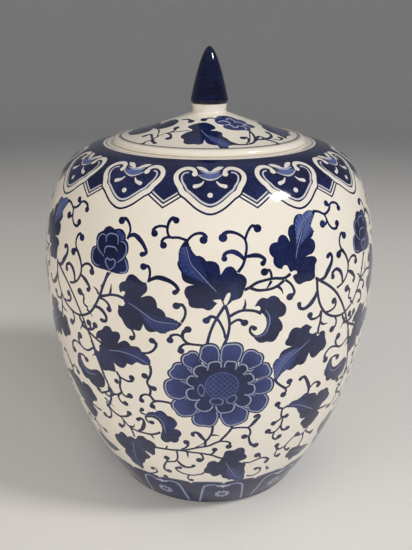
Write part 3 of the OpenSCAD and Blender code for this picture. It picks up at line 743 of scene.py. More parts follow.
# The bud: one dark shape with its petals drawn in pale lines
BUD_LINE_W, BUD_LINE_TONE = [0.35, 0.65, 0.7, 0.65, 0.35], 0.44
scroll.fill(outlined([(-51, 161.8), (-47, 161.4), (-43, 161.8), (-40.5, 163.1), (-40, 165.6),
                      (-40.7, 168.4), (-42, 170.3), (-42, 170.3), (-40.9, 172.4), (-40.8, 175),
                      (-41.7, 177.2), (-42.8, 178), (-42.8, 178), (-43.2, 180.6), (-45, 182.4),
                      (-47.4, 182.9), (-50, 182.2), (-50, 182.2), (-51.6, 182.9), (-53.6, 183.3),
                      (-55.8, 182.4), (-57.2, 180.6), (-58.6, 179.8), (-58.6, 179.8), (-60.4, 178.6),
                      (-61.2, 176.4), (-60.8, 174), (-61, 172.6), (-61, 172.6), (-63, 171.8),
                      (-63.9, 169.4), (-63.8, 166.2), (-62.8, 163.8), (-60.4, 162.5), (-57, 162.1),
                      (-53.6, 162)]))
scroll.fill(outlined([(-46.9, 178.6), (-46, 181.4), (-47.4, 182), (-49.4, 181.4), (-49.4, 181.4),
                      (-47.8, 180.2)]), 0.78)
scroll.fill(outlined([(-45.8, 177.8), (-45.8, 177.8), (-43.8, 177.8), (-44.2, 180.4), (-45.4, 181.5),
                      (-46.2, 180)]), 0.78)
for line in ([(-54.2, 175.4), (-54.7, 177.8), (-53.4, 179.5), (-51, 180), (-48.4, 179.7), (-47.2, 178),
              (-47.2, 175.2)],
             [(-54.8, 170), (-54.7, 172.4), (-53.4, 173.6), (-51, 173.8), (-48.6, 173.7),
              (-47.1, 172.2)],
             [(-51, 162.4), (-53, 164.4), (-53.9, 166.6), (-52.7, 168.1), (-51, 167.2), (-49.2, 168.1),
              (-47.9, 166.7), (-48.6, 164.4), (-51, 162.4)],
             [(-55.2, 178.5), (-57, 179), (-59.2, 177.6), (-60, 175), (-59.3, 172), (-57.4, 170),
              (-55, 168.5)],
             [(-60.5, 172), (-62.2, 170.8), (-62.8, 168), (-62.2, 165), (-60, 163.6), (-57.5, 163.4)],
             [(-45.8, 177), (-43.4, 176.6), (-42, 174.4), (-42.2, 171.6), (-43.8, 169), (-46.8, 166.8)],
             [(-42.6, 169), (-41.3, 166.6), (-41, 164), (-42.4, 162.6), (-45, 162.3)]):
    scroll.stroke(line, BUD_LINE_W, BUD_LINE_TONE)

# The border round the foot: twelve arched panels, each with a small wing under its arch and a
# blossom of nine pale petals, below a rail of two scallops to a panel
foot_border = Painting()
PANEL = QUARTER / 3
PANEL_AT = 10.9
RAIL_DIP, RAIL_Y, SCALLOP_H, SCALLOP_BEND = 28.2, 28.6, 2.2, 0.45
ARCH_W, ARCH_TONE = [1.6, 1.7, 1.6, 1.3, 0.8], 0.34
BLOOM_Y, BLOOM_WIDE, BLOOM_HIGH = 14.8, 4.6, 2.7
rail = []
for k in range(-5, 6):
    x = PANEL_AT + k * PANEL / 2
    rail.append((x, RAIL_DIP))
    rail += [(x + PANEL / 2 * t, RAIL_Y + SCALLOP_H * math.sin(math.pi * t) ** SCALLOP_BEND)
             for t in np.linspace(0.06, 0.94, 13)]
foot_border.fill([(x, y + 0.4) for x, y in rail] + [(rail[-1][0], -4), (rail[0][0], -4)])
foot_border.stroke([(x, y - 0.35) for x, y in rail[::2]], [0.35, 0.35], 0.45)
for k in (-2, -1, 0, 1):
    c = PANEL_AT + k * PANEL
    side = [(c - 20, 3.4), (c - 18.2, 12), (c - 16.6, 20), (c - 14.9, 25), (c - 11, 27.2), (c - 5.5, 27)]
    for flip in (1, -1):
        foot_border.stroke([(c + flip * (x - c), y) for x, y in side], ARCH_W, ARCH_TONE)
        foot_border.stroke([(c + flip * (x - c) * 0.91, y - 0.4) for x, y in side[:4]],
                           [0.3, 0.35, 0.3], 0.62)
    wings = [(-6, 27), (-4.6, 24.8), (-1.6, 24.4), (0, 23), (1.6, 24.4), (4.6, 24.8), (6, 27),
             (3, 26.2), (0, 26.8), (-3, 26.2)]
    foot_border.fill(smooth([(c + x, y) for x, y in wings + wings[:1]]), 0.2)
    for turn in range(0, 360, 40):
        a = math.radians(turn)
        x, y = c + BLOOM_WIDE * math.cos(a), BLOOM_Y + BLOOM_HIGH * math.sin(a)
        foot_border.dab(x, y, 2.0, 1.45, ARCH_TONE, turn)
    foot_border.dab(c, BLOOM_Y, 3, 1.7)
    foot_border.dab(c, BLOOM_Y, 1.2, 0.7, 0.55)

# The collar round the shoulder: a dark ground that ends in points, hung with cloud-head lappets
collar_border = Painting()
COLLAR_TOP = 227.2
SIDE = QUARTER / 2 + 1
LAPPET_TONE, INNER_TONE, HOOK_TONE = 0.02, 0.14, 0.06
collar_border.fill([(-SIDE, 203), (SIDE, 203), (SIDE, COLLAR_TOP), (-SIDE, COLLAR_TOP)])
for k in range(-2, 2):
    c = (k + 0.5) * PANEL
    for tip, tone in ((194.2, DEEP), (195.2, 0.03), (196.3, DEEP), (197.3, 0.12), (198.2, DEEP)):
        collar_border.fill([(c - 15, tip + 9.4), (c, tip), (c + 15, tip + 9.4)], tone)
for k in (-2, -1, 0, 1, 2):
    c = k * PANEL
    flank = [(-9.2, 213.2), (-9.6, 215.6), (-12, 217.4), (-15.6, 217.4), (-19, 215.4), (-20.6, 212),
             (-19.4, 208.4), (-16.9, 205.4), (-15.4, 202.8), (-12.4, 201), (-9.8, 199), (-5.4, 195.9),
             (0, 194.1)]
    ring = [(c + x, y) for x, y in flank] + [(c - x, y) for x, y in flank[-2::-1]]
    inner = [(-13.2, 214.3), (-15.4, 214), (-17, 211.8), (-16.2, 208.6), (-14, 205.8), (-12.8, 204),
             (-10.6, 202.6), (-7.6, 200.4), (-4, 197.9), (0, 196.7)]
    core = [(c + x, y) for x, y in inner] + [(c - x, y) for x, y in inner[-2::-1]]
    collar_border.stroke(ring, [3.6, 4.6, 4.7, 4.7, 4.7, 4.6, 3.6])
    collar_border.fill(smooth(ring))
    collar_border.stroke(ring, [2.4, 2.8, 2.9, 2.7, 2.6, 2.7, 2.9, 2.8, 2.4], LAPPET_TONE)
    for x in (c - 9.3, c + 9.3):
        collar_border.dab(x, 213.4, 1.8, 1.7, LAPPET_TONE)
    collar_border.stroke(core, [0.9, 1.1, 1.0, 0.9, 1.0, 1.1, 0.9], INNER_TONE)
    collar_border.fill(smooth([(c - 7, 213.4), (c - 6, 212.2), (c, 210.2), (c + 6, 212.2),
                               (c + 7, 213.4), (c, 213.8)]), 0.58)
    swag = [(c - 7.4, 212.6), (c - 4, 210.6), (c, 209.6), (c + 4, 210.6), (c + 7.4, 212.6)]
    collar_border.stroke(swag, [0.4, 1.0, 0.4], INNER_TONE)
    collar_border.fill(smooth([(c - 6.6, 215), (c, 213.4), (c + 6.6, 215), (c, 215.6)]), 0.3)
    for flip in (1, -1):
        lobe = [(-9.2, 218.9), (-6, 219.2), (-2.6, 217.4), (-0.5, 214.6), (-3.6, 215.4), (-6.8, 216.6),
                (-9.2, 218.9)]
        collar_border.fill(smooth([(c + flip * x, y) for x, y in lobe]), 0.04)
        hook = [(-3.6, 208.8), (-5.4, 206.8), (-8.8, 205.8)]
        collar_border.stroke([(c + flip * x, y) for x, y in hook], [0.6, 1.6, 2.2], HOOK_TONE)
        collar_border.dab(c - flip * 8.6, 205.9, 1.2, 1.0, HOOK_TONE)
    collar_border.dab(c, 201.4, 1.5, 1.25, HOOK_TONE)

# One thin dark ring on the white of the ledge, inside the collar's edge
RING_LOW, RING_HIGH = COLLAR_TOP + 1.5, COLLAR_TOP + 2
collar_border.fill([(-SIDE, RING_LOW), (SIDE, RING_LOW), (SIDE, RING_HIGH), (-SIDE, RING_HIGH)], 0.85)

# The wall is cut along every painted edge, so that the blue has a clean line at any size
section = np.vstack([
    [(lower_r(z), z) for z in np.linspace(EDGE_Z + EDGE_ROUND, BELLY_Z, WALL_STEPS)],
    [(r, BELLY_Z + (LEDGE_Z - BELLY_Z) * shoulder_rise(r, BELLY_R) / shoulder_rise(LEDGE_R, BELLY_R))
     for r in BELLY_R - (BELLY_R - LEDGE_R) * np.linspace(0, 1, WALL_STEPS)[1:] ** 2],
    [(r, LEDGE_Z) for r in np.linspace(LEDGE_R, MOUTH_R + LIP_ROUND, LEDGE_STEPS)[1:]],
])
TABLE_TO_EDGE = 3.9
climb = TABLE_TO_EDGE + travelled(section)


def cut_along(points, edges, kept):
    """A flat sheet of triangles through the points, cut along the edges."""
    cut = geometry.delaunay_2d_cdt([Vector(p) for p in points], edges, [], 0, 1e-4)
    flat, triangles = np.array([tuple(v) for v in cut[0]]), np.array(cut[2])
    return flat, triangles[kept(flat[triangles].mean(axis=1))]


def cut_sheet(shapes, borders, lattice, kept):
    """Cuts a flat sheet along its borders and along every painted edge that can be seen.
    Returns its points, its triangles and the cobalt tone at each corner."""
    points, edges = [tuple(p) for p in lattice], []
    for outline in borders + [divided(shape[0]) for shape in shapes]:
        first, n = len(points), len(outline)
        points.extend(map(tuple, outline))
        edges.extend((first + i, first + (i + 1) % n) for i in range(n))
    flat, triangles = cut_along(points, edges, kept)

    # Edges that lie under a later stroke of the same tone are dropped, and the sheet is cut again
    looks = {look: i for i, look in enumerate({(tone, fade) for _, tone, fade in shapes}, 1)}
    seen = np.zeros(len(triangles), int)
    middles = flat[triangles].mean(axis=1)
    for outline, tone, fade in shapes:
        seen[within(middles, outline)] = looks[tone, fade]
    sides = np.sort(triangles[:, [0, 1, 1, 2, 2, 0]].reshape(-1, 2), axis=1)
    order = np.lexsort(sides.T)
    sides, owner = sides[order], np.repeat(seen, 3)[order]
    twin = np.append(np.all(sides[1:] == sides[:-1], axis=1), False)
    differ = np.append(owner[1:] != owner[:-1], False)
    inner = twin | np.roll(twin, 1)
    wanted = sides[(twin & differ) | ~inner]
    used, again = np.unique(wanted, return_inverse=True)
    points = list(map(tuple, flat[used])) + [tuple(p) for p in lattice]
    flat, triangles = cut_along(points, again.reshape(-1, 2).tolist(), kept)

    corners = flat[triangles]
    middles, tones = corners.mean(axis=1), np.zeros(triangles.shape)
    for outline, tone, fade in shapes:
        found = within(middles, outline)
        tones[found] = tone
        if fade:
            x0, y0, x1, y1, last = fade
            gone = ((corners[found] - (x0, y0)) @ (x1 - x0, y1 - y0)) / ((x1 - x0) ** 2 + (y1 - y0) ** 2)
            tones[found] = tone + (last - tone) * np.clip(gone, 0, 1)
    return flat, triangles, tones


def shifted(shapes, dx, low, high):
    """The shapes moved along the wall by dx, where they reach into the sheet."""
    for outline, tone, fade in shapes:
        moved = outline + (dx, 0)
        if moved[:, 0].max() > low and moved[:, 0].min() < high:
            yield moved, tone, fade and (fade[0] + dx, fade[1], fade[2] + dx, fade[3], fade[4])


half = QUARTER / 2
laid = [s for shape in scroll.shapes for dx in (-QUARTER, 0, QUARTER)
        for s in shifted([shape], dx, -half, half)]
laid += shifted(foot_border.shapes + collar_border.shapes, 0, -half, half)
across = np.linspace(-half, half, COLUMNS // 4 + 1)
turns = [climb[0], climb[-LEDGE_STEPS], climb[-1]]
wall, ledge = np.linspace(*turns[:2], 75), np.linspace(*turns[1:], 4)
borders = []
for up in (wall, ledge):
    low, high = [(x, up[0]) for x in across], [(x, up[-1]) for x in across[::-1]]
    left, right = [(-half, y) for y in up[-2:0:-1]], [(half, y) for y in up[1:-1]]
    borders.append(np.array(low + right + high + left))
lattice = [(x, y) for x in across[2:-2:2] for y in (*wall[2:-2:2], *ledge[1:-1])]
flat, triangles, tones = cut_sheet(
    laid, borders, lattice,
    lambda m: (np.abs(m[:, 0]) < half) & (m[:, 1] > climb[0]) & (m[:, 1] < climb[-1]))
way = np.gradient(section, climb, axis=0)
radius, height = np.interp(flat[:, 1], climb, section[:, 0]), np.interp(flat[:, 1], climb, section[:, 1])
lean, rise = -np.interp(flat[:, 1], climb, way[:, 0]), np.interp(flat[:, 1], climb, way[:, 1])
outside = []
for k in range(4):
    turn = flat[:, 0] / BELLY_R + k * math.pi / 2
    spots = np.column_stack([radius * np.sin(turn), -radius * np.cos(turn), height])
    facing = np.column_stack([rise * np.sin(turn), -rise * np.cos(turn), lean])
    outside.append((spots, facing, triangles, tones))

# Inside, lip, floor and underside, turned on the wheel and left white, and the dark lower edge
inner_r = BELLY_R - WALL_T
inner_h = LEDGE_Z - WALL_T - BELLY_Z
inside_high = [(r, BELLY_Z + inner_h * shoulder_rise(r, inner_r) / shoulder_rise(MOUTH_R, inner_r))
               for r in inner_r - (inner_r - MOUTH_R) * np.linspace(1, 0, INSIDE_STEPS) ** 2]
drop = np.linspace(1, 0, INSIDE_STEPS)[1:] ** 2
inside_low = []
for z in FLOOR_Z + (BELLY_Z - FLOOR_Z) * drop:
    sink = max(0.0, (FLOOR_Z + FLOOR_ROUND - z) / FLOOR_ROUND)
    inside_low.append((lower_r(z) - WALL_T - FLOOR_ROUND * (1 - math.sqrt(1 - sink * sink)), z))
lip = arc((MOUTH_R + LIP_ROUND, LEDGE_Z - LIP_ROUND), LIP_ROUND, 90, 180)
edge = arc((section[0][0] - EDGE_ROUND, EDGE_Z + EDGE_ROUND), EDGE_ROUND, -90, 0)
jar = make_skin("jar_body_painted", outside + lathe(
    list(lip) + [(MOUTH_R, LEDGE_Z - 0.5 * WALL_T), inside_high[0]],
    inside_high + inside_low + [(0.5 * inside_low[-1][0], FLOOR_Z), (0, FLOOR_Z)],
    [(0, FOOT_H), (FOOT_R, FOOT_H)],
    [(FOOT_R, FOOT_H), (FOOT_R, EDGE_Z)]) + lathe([(FOOT_R, EDGE_Z)] + list(edge), tone=DEEP))

# Underglaze blue on porcelain: ivory white, a wet-looking gloss with a slow ripple, cobalt that
# pools dark and breaks paler where the brush ran dry, and a few iron specks in the white.
RIPPLE = 7 * MM
BRUSH_MARK = 1.6 * MM
BRUSH_SWEEP = 16 * MM
SPECK = 9 * MM
painted, tree, shader, places = start_material("underglaze_blue_porcelain")
cobalt = add_node(tree, "Attribute", attribute_name="cobalt")
pool = add_node(tree, "TexNoise", {"Vector": places, "Scale": 1 / BRUSH_MARK, "Detail": 5.0,
                                   "Roughness": 0.6})
sweep = add_node(tree, "TexNoise", {"Vector": places, "Scale": 1 / BRUSH_SWEEP, "Detail": 2.0})
uneven = add_node(tree, "Math", {0: pool.outputs["Fac"], 1: sweep.outputs["Fac"]}, operation="ADD")
amount = add_node(tree, "MapRange", {"Value": uneven.outputs[0], "From Min": 0.65, "From Max": 1.35,
                                     "To Min": 0.88, "To Max": 1.05})
strength = add_node(tree, "Math", {0: cobalt.outputs["Fac"], 1: amount.outputs[0]}, operation="MULTIPLY")
blue = add_ramp(tree, strength.outputs[0], (0, "#EAE4D9"), (0.22, "#A7ADC6"), (0.55, "#56659B"),
                (0.8, "#29366F"), (1, "#0D1338"))
specks = add_node(tree, "TexVoronoi", {"Vector": places, "Scale": 1 / SPECK})
speck = add_node(tree, "MapRange", {"Value": specks.outputs["Distance"], "From Min": 0.015,
                                    "From Max": 0.03, "To Min": 0.45, "To Max": 0.0})
body = add_node(tree, "MixRGB", {"Fac": speck.outputs[0], "Color1": blue,
                                 "Color2": linear("#7A6044")})
ripple = add_node(tree, "TexNoise", {"Vector": places, "Scale": 1 / RIPPLE, "Detail": 2.0})
bump = add_node(tree, "Bump", {"Height": ripple.outputs["Fac"], "Strength": 0.25, "Distance": 0.12 * MM})
feed(tree, shader, {"Base Color": body.outputs["Color"], "Normal": bump.outputs["Normal"],
                    "Roughness": 0.09, "IOR": 1.52})
jar.data.materials.append(painted)
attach(jar, "jar")
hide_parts("jar_body")

# The flange is the ring under the lid that drops into the mouth and keeps the lid centred.
# It is bare porcelain like the foot ring, luted to the lid's underside.
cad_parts["lid_flange"].material_slots[0].material = biscuit

# The lid is a shallow porcelain cap with a flat brim and a rounded rim, resting on the ledge.
# It is painted in the same underglaze blue: leaves, a bud and tendrils, twice round.
RIM_W = 3.2
RIM_H = 3.4
RIM_DROP = 0.8
LID_R = 53.8
BRIM_R = LID_R - RIM_W
CROWN_R = 10.8
DOME_H = 12.3
DOME_BEND = 1.2
LID_T = 4.5
FLANGE_IN_R = 44.6
UNDER_Z = LEDGE_Z + 0.2
BRIM_Z = LEDGE_Z + RIM_H
CROWN_Z = BRIM_Z + DOME_H


def dome_z(r):
    """Height of the lid's outside over its slope."""
    return BRIM_Z + DOME_H * max(0.0, (BRIM_R - r) / (BRIM_R - CROWN_R)) ** DOME_BEND


# Drawn as seen from above, with the front of the jar at the bottom
spray = Painting()
spray.stem((20, -21), (22.6, -27), (23.4, -33), (22, -38.5), (18, -42), (14, -43))
spray.stem((21, -24), (20.8, -31), (20.4, -36), (18.4, -40.6), wide=FINE_STEM_W)
spray.curl((19.6, -39), (20, -35), (18.8, -32.4), (17, -34), ball=1.6)
spray.curl((23.4, -36), (24.8, -30), (26, -28), (28.6, -29.4), ball=0.9, swell=0.6)
spray.curl((23.4, -34), (28, -31), (31.6, -27), (32.6, -22), (31, -18.6), ball=1.5, swell=0.9)
spray.curl((28, -31), (32, -31.4), (34.8, -33.4), (35.2, -36), ball=1.5, swell=0.8)
spray.curl((33, -27.6), (36, -27.6), (38, -25.4), (37.6, -22.6))
spray.curl((3.4, -15.4), (0, -14.8), (-3, -16.4), ball=1.8)
spray.curl((-14.8, -11), (-12.4, -12.4), (-10.8, -14), (-9.8, -16.6), ball=1.8)
spray.stem((-10.4, -27), (-16, -26.4), (-22, -25.4), (-27, -26.6), (-26.8, -20), (-28, -14), wide=0.9)
spray.curl((-22.4, -25.6), (-20.8, -27.6), (-20, -31), (-21.2, -33), ball=1.8)
spray.curl((-21, -25.6), (-18.4, -24), (-17.6, -21))
spray.curl((-26.6, -27), (-29.6, -29.6), (-30.4, -25), (-31.4, -21.4), (-34.4, -21.6))
spray.curl((-29.6, -29.6), (-29.4, -33.4), (-27.8, -37), ball=1.0, swell=0.8)
spray.curl((-30, -31), (-33, -32.4), (-34.6, -35), ball=1.3)
spray.leaf(
    [(-4, -19.5), (-8, -20.2), (-11.4, -22), (-10.8, -24.4), (-9.2, -26), (-9.2, -27.6), (-9.2, -27.6),
     (-11.8, -28.8), (-14.2, -31), (-15, -33.8), (-13.2, -37), (-13.2, -37), (-13.2, -41),
     (-10.8, -43.4), (-8, -43.2), (-8, -43.2), (-5.6, -44.2), (-3.6, -43), (-2.6, -38.4), (-2.6, -38.4),
     (-1.6, -42.4), (1, -44.6), (4, -45.2), (4, -45.2), (5, -48.4), (7.6, -49.6), (9.2, -48),
     (9.2, -45.2), (9.2, -45.2), (12.4, -43.8), (16.6, -43.4), (16.6, -43.4), (13.4, -41.4),
     (10.4, -39.4), (9, -36.6), (9, -36.6), (6.6, -34.2), (6.6, -31), (4.6, -29), (0.4, -28.4),
     (0.4, -28.4), (3, -26.4), (2.6, -24), (0.4, -21.2), (-2, -19.8)],
    [(-4.6, -27), (-2.6, -32), (0.6, -37), (4.4, -41.6), (8, -46.6)], (4.2, 2.6), (0.66, 0.7))
spray.leaf(
    [(-44, -9), (-41.6, -13), (-36.6, -15.2), (-32.4, -14.6), (-30.4, -11), (-30.4, -11),
     (-28.4, -14.6), (-25, -17), (-20.4, -16.8), (-17, -13.6), (-17, -10), (-19, -6), (-22.4, -4.2),
     (-26.6, -5.6), (-26.6, -5.6), (-27.2, -1), (-26.4, 3), (-28.6, 7), (-28.6, 7), (-29, 12),
     (-32.4, 16), (-36, 17.4), (-41, 22), (-41, 22), (-42, 15), (-44.6, 10.6), (-43.4, 5), (-43.4, 5),
     (-45.4, 0), (-45, -5)],
    [(-32.8, -8), (-34.6, -2), (-36.2, 4), (-37.6, 10), (-40.4, 18)], (4, 3.4))
spray.fill(outlined([(3.2, -14.4), (5, -11.6), (8.6, -10), (8.6, -10), (12, -9.4), (15, -10.4),
                     (15, -10.4), (17.6, -9.6), (20, -11), (20, -13.2), (20, -13.2), (23, -12.6),
                     (24.6, -14.6), (23.4, -17.4), (21.4, -18.4), (21.4, -18.4), (22, -21),
                     (20.4, -23.2), (17, -24.4), (17, -24.4), (13.4, -26.2), (9.4, -25.8), (7, -24),
                     (7.6, -21.6), (7.6, -21.6), (4.6, -21), (3, -19), (2.8, -16.6)]), 0.88)
for line in ([(4.6, -19), (6.2, -17.2), (8.6, -16.8), (10.6, -18), (10.8, -20.4)],
             [(8, -21.8), (9.6, -20.4), (11.8, -21), (13.2, -22.6), (15, -21), (15.4, -18.6)],
             [(9, -15.4), (9.6, -13.2), (11.6, -12.6), (13.4, -14), (13.6, -16)],
             [(13.6, -15.6), (15.4, -14.2), (17.8, -14.6), (18.8, -16.6), (17.6, -18.4)],
             [(16.2, -19.4), (18.2, -19), (19.6, -20.6), (18.6, -22.6)],
             [(19.6, -13.6), (19.2, -15.4), (20.4, -17.2), (22, -17)]):
    spray.stroke(line, [0.4, 0.8, 0.85, 0.8, 0.4], 0.2)

# A thin line round the brim lies under the two sprays
LINE_R = 49.4
turn = np.linspace(0, 2 * math.pi, COLUMNS, endpoint=False)
circle = np.column_stack([np.sin(turn), -np.cos(turn)])
lid_shapes = [(circle * (LINE_R + 0.5), 0.92, None), (circle * (LINE_R - 0.4), BARE, None)]
for k in range(2):
    c, s = math.cos(k * math.pi), math.sin(k * math.pi)
    spin = np.array([[c, s], [-s, c]])
    for outline, tone, fade in spray.shapes:
        ends = fade and tuple(np.array([fade[:2], fade[2:4]]) @ spin)
        lid_shapes.append((outline @ spin, tone, fade and (*ends[0], *ends[1], fade[4])))
rows = np.linspace(CROWN_R, BRIM_R, 16)[1:-1]
flat, triangles, tones = cut_sheet(
    lid_shapes, [circle * BRIM_R, circle * CROWN_R], np.vstack([circle[::3] * r for r in rows]),
    lambda m: (np.hypot(*m.T) > CROWN_R * math.cos(math.pi / COLUMNS) - 1e-6) & (np.hypot(*m.T) < BRIM_R))
radius = np.hypot(*flat.T)
height = np.array([dome_z(r) for r in radius])
inward = np.maximum(0, (BRIM_R - radius) / (BRIM_R - CROWN_R))
slope = DOME_H * DOME_BEND / (BRIM_R - CROWN_R) * inward ** (DOME_BEND - 1)
facing = np.column_stack([flat[:, 0] / radius * slope, flat[:, 1] / radius * slope, np.ones(len(flat))])
facing /= np.linalg.norm(facing, axis=1)[:, None]
top = [(np.column_stack([flat, height]), facing, triangles, tones)]
rim = [(BRIM_R + RIM_W * math.sin(a), LEDGE_Z + RIM_DROP + (RIM_H - RIM_DROP) * math.cos(a))
       for a in np.linspace(0, math.pi / 2, 12)]
rim += list(arc((LID_R - RIM_DROP, LEDGE_Z + RIM_DROP), RIM_DROP, 0, -90))[1:]
under = [(r, max(UNDER_Z, dome_z(r) - LID_T)) for r in np.linspace(FLANGE_IN_R, CROWN_R, 20)]
lid = make_skin("lid_cap_painted", top + lathe(
    [(CROWN_R, CROWN_Z), (0, CROWN_Z)],
    rim,
    [rim[-1], (FLANGE_IN_R, LEDGE_Z)],
    [(FLANGE_IN_R, LEDGE_Z), under[0]],
    under + [(0, CROWN_Z - LID_T)]))
lid.data.materials.append(painted)
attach(lid, "lid")
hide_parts("lid_cap")

# The collar is a short white ring luted on the crown, flaring into the lid at its foot.
# It is glazed with the lid and left unpainted.
COLLAR_R = 9.3
COLLAR_LEAN = 0.4
COLLAR_FLARE = 1.5
BORE_R = 5.15
COLLAR_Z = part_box("finial_collar")[1][2] / MM
flare = arc((CROWN_R, CROWN_Z + COLLAR_FLARE), COLLAR_FLARE, 262, 180, 10)
collar = make_skin("finial_collar_glazed", lathe(
    [(BORE_R, CROWN_Z), (CROWN_R, CROWN_Z)],
    [(CROWN_R, CROWN_Z)] + list(flare) + [(COLLAR_R + COLLAR_LEAN, COLLAR_Z)],
    [(COLLAR_R + COLLAR_LEAN, COLLAR_Z), (BORE_R, COLLAR_Z)],
    [(BORE_R, COLLAR_Z), (BORE_R, CROWN_Z)]))
collar.data.materials.append(painted)
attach(collar, "lid")
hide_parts("finial_collar")

# The spire is a solid pointed knob, pressed in a mould, with a spigot that fills the collar.
# It is dipped whole in cobalt glaze, which runs a little as it melts.
SPIRE_R = 10.4
SPIRE_BEND = 0.57
SPIRE_ROUND = 2.2
EDGE_W = 0.6 * SPIRE_ROUND
SPIGOT_R = BORE_R - 0.15
TIP_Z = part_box("finial_spire")[1][2] / MM
WIDE_Z = COLLAR_Z + SPIRE_ROUND
foot = [(SPIRE_R - EDGE_W + EDGE_W * math.cos(a), WIDE_Z + SPIRE_ROUND * math.sin(a))
        for a in np.linspace(-math.pi / 2, 0, 12)]
side = [(SPIRE_R * t ** (2 * SPIRE_BEND), TIP_Z - (TIP_Z - WIDE_Z) * t * t)
        for t in np.linspace(1, 0, 48)[1:]]
spire = make_skin("finial_spire_glazed", lathe(
    [(0, CROWN_Z), (SPIGOT_R, CROWN_Z)],
    [(SPIGOT_R, CROWN_Z), (SPIGOT_R, COLLAR_Z)],
    [(SPIGOT_R, COLLAR_Z), (SPIRE_R - EDGE_W, COLLAR_Z)],
    foot + side))

# Cobalt glaze: nearly black where it ran thick, dark blue where it ran thin, wet gloss.
GLAZE_RUN = 5 * MM
GLAZE_FLECK = 0.9 * MM
cobalt_glaze, tree, shader, places = start_material("cobalt_glaze")
runs = add_node(tree, "TexNoise", {"Vector": places, "Scale": 1 / GLAZE_RUN, "Detail": 3.0})
fine = add_node(tree, "TexNoise", {"Vector": places, "Scale": 1 / GLAZE_FLECK, "Detail": 3.0})
both = add_node(tree, "Math", {0: runs.outputs["Fac"], 1: fine.outputs["Fac"]}, operation="ADD")
thick = add_node(tree, "MapRange", {"Value": both.outputs[0], "From Min": 0.7, "From Max": 1.3})
depth = add_ramp(tree, thick.outputs[0], (0, "#090A16"), (1, "#131943"))
bump = add_node(tree, "Bump", {"Height": runs.outputs["Fac"], "Strength": 0.2, "Distance": 0.15 * MM})
feed(tree, shader, {"Base Color": depth, "Normal": bump.outputs["Normal"], "Roughness": 0.07,
                    "IOR": 1.52})
spire.data.materials.append(cobalt_glaze)
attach(spire, "lid")
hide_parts("finial_spire")

# The studio: a pale paper cove that rises all round the jar, its colour greying with distance from the
# jar as painted shade, so that a pool of painted light lies round the jar; a small soft key from the
# right, two broad lamps from the left and the front that leave no reflection, and a dim room.
PAPER_TOOTH = 3 * MM
PAINTED_LIGHT_TO, PAINTED_SHADE_FROM = 0.35, 1.5
paper, tree, shader, places = start_material("studio_paper")
tooth = add_node(tree, "TexNoise", {"Vector": places, "Scale": 1 / PAPER_TOOTH, "Detail": 3.0})
# The paper is pale near the jar and greys farther out: painted shade, the fall of the lamps' light
# painted into the paper's colour.
reach = add_node(tree, "VectorMath", {0: places}, operation="LENGTH")
painted_falloff = add_node(tree, "MapRange", {"Value": reach.outputs["Value"], "From Min": PAINTED_LIGHT_TO,
                                    "From Max": PAINTED_SHADE_FROM}, interpolation_type="SMOOTHSTEP")
mottle = add_node(tree, "MapRange", {"Value": tooth.outputs["Fac"], "To Min": -0.02, "To Max": 0.02})
mixed = add_node(tree, "Math", {0: painted_falloff.outputs[0], 1: mottle.outputs[0]}, operation="ADD")
shade = add_ramp(tree, mixed.outputs[0], (0, "#F1F0EE"), (1, "#C4C5C7"))
feed(tree, shader, {"Base Color": shade, "Roughness": 0.8})
COVE_R, COVE_BEND, COVE_TOP, COVE_FLAT, COVE_SIDES = 2.6, 1.2, 2.2, 0.4, 96
bend = np.linspace(0, math.pi / 2, 16)
cove = [(COVE_FLAT, 0.0)] + [(COVE_R - COVE_BEND + COVE_BEND * math.sin(a),
                        COVE_BEND - COVE_BEND * math.cos(a)) for a in bend]
cove += [(COVE_R, COVE_TOP)]
turn = np.arange(COVE_SIDES) * 2 * math.pi / COVE_SIDES
spots = [(r * math.cos(a), r * math.sin(a), z) for r, z in cove for a in turn]
faces = [tuple(range(COVE_SIDES))]
for k in range(0, len(spots) - COVE_SIDES, COVE_SIDES):
    faces += [(k + i, k + COVE_SIDES + i, k + COVE_SIDES + (i + 1) % COVE_SIDES, k + (i + 1) % COVE_SIDES)
              for i in range(COVE_SIDES)]
mesh = bpy.data.meshes.new("studio_cove")
mesh.from_pydata(spots, [], faces)
mesh.polygons.foreach_set("use_smooth", np.ones(len(mesh.polygons), bool))
studio = bpy.data.objects.new("studio_cove", mesh)
bpy.context.collection.objects.link(studio)
mesh.materials.append(paper)


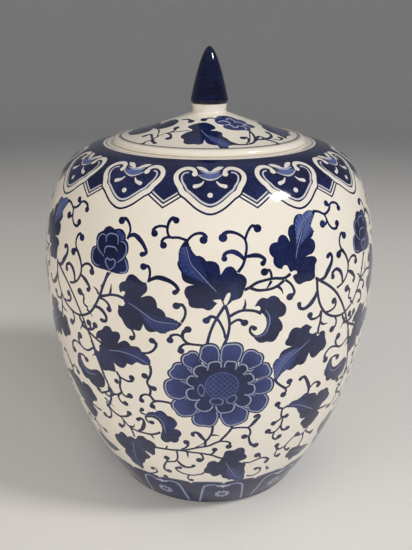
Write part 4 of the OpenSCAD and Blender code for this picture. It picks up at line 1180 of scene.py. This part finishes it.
def add_lamp(name, place, target, wide, high, watts, code, mirrored=True):
    """A rectangular soft lamp aimed at a point. An unmirrored one lights the glaze but leaves no
    reflection in it."""
    data = bpy.data.lights.new(name, "AREA")
    data.shape = "RECTANGLE"
    data.size, data.size_y, data.energy, data.color = wide, high, watts, linear(code)[:3]
    lamp = bpy.data.objects.new(name, data)
    lamp.location = place
    lamp.rotation_euler = (Vector(target) - Vector(place)).to_track_quat("-Z", "Y").to_euler()
    lamp.visible_glossy = mirrored
    bpy.context.collection.objects.link(lamp)


add_lamp("key", (0.78, -0.42, 0.99), (0, 0, 0.12), 0.22, 0.16, 6.6, "#FFFBF4")
add_lamp("fill", (-0.9, -0.6, 0.45), (0, 0, 0.12), 0.8, 0.8, 3.8, "#FFEFDB", False)
add_lamp("front", (0.35, -1.5, 0.75), (0, 0, 0.1), 0.9, 0.6, 9.5, "#FFFFFF", False)

world = bpy.data.worlds.new("studio_room")
bpy.context.scene.world = world
world.use_nodes = True
tree = world.node_tree
aim = add_node(tree, "SeparateXYZ", {"Vector": add_node(tree, "TexCoord").outputs["Generated"]})
fall = add_node(tree, "MapRange", {"Value": aim.outputs["Z"], "From Min": 0.0, "From Max": 0.5,
                                   "To Min": 0.26, "To Max": 0.24})
feed(tree, tree.nodes["Background"], {"Strength": fall.outputs[0], "Color": linear("#FFFFFF")})

# The camera stands close and a little above the lid, as the photograph was taken, and looks about
# 20 degrees down.
PHOTO_HIGH = 550
FOCAL_PX = 680
SENSOR = 36.0
CAMERA_AT = (-0.0019, -0.3861, 0.2628)
LOOKS_DOWN = 19.94
data = bpy.data.cameras.new("camera")
data.sensor_fit = "VERTICAL"
data.sensor_height = SENSOR
data.lens = SENSOR * FOCAL_PX / PHOTO_HIGH
data.clip_start = 0.01
camera = bpy.data.objects.new("camera", data)
camera.location = CAMERA_AT
camera.rotation_euler = (math.radians(90 - LOOKS_DOWN), 0, 0)
bpy.context.collection.objects.link(camera)
bpy.context.scene.camera = camera
bpy.context.scene.view_settings.view_transform = "Standard"
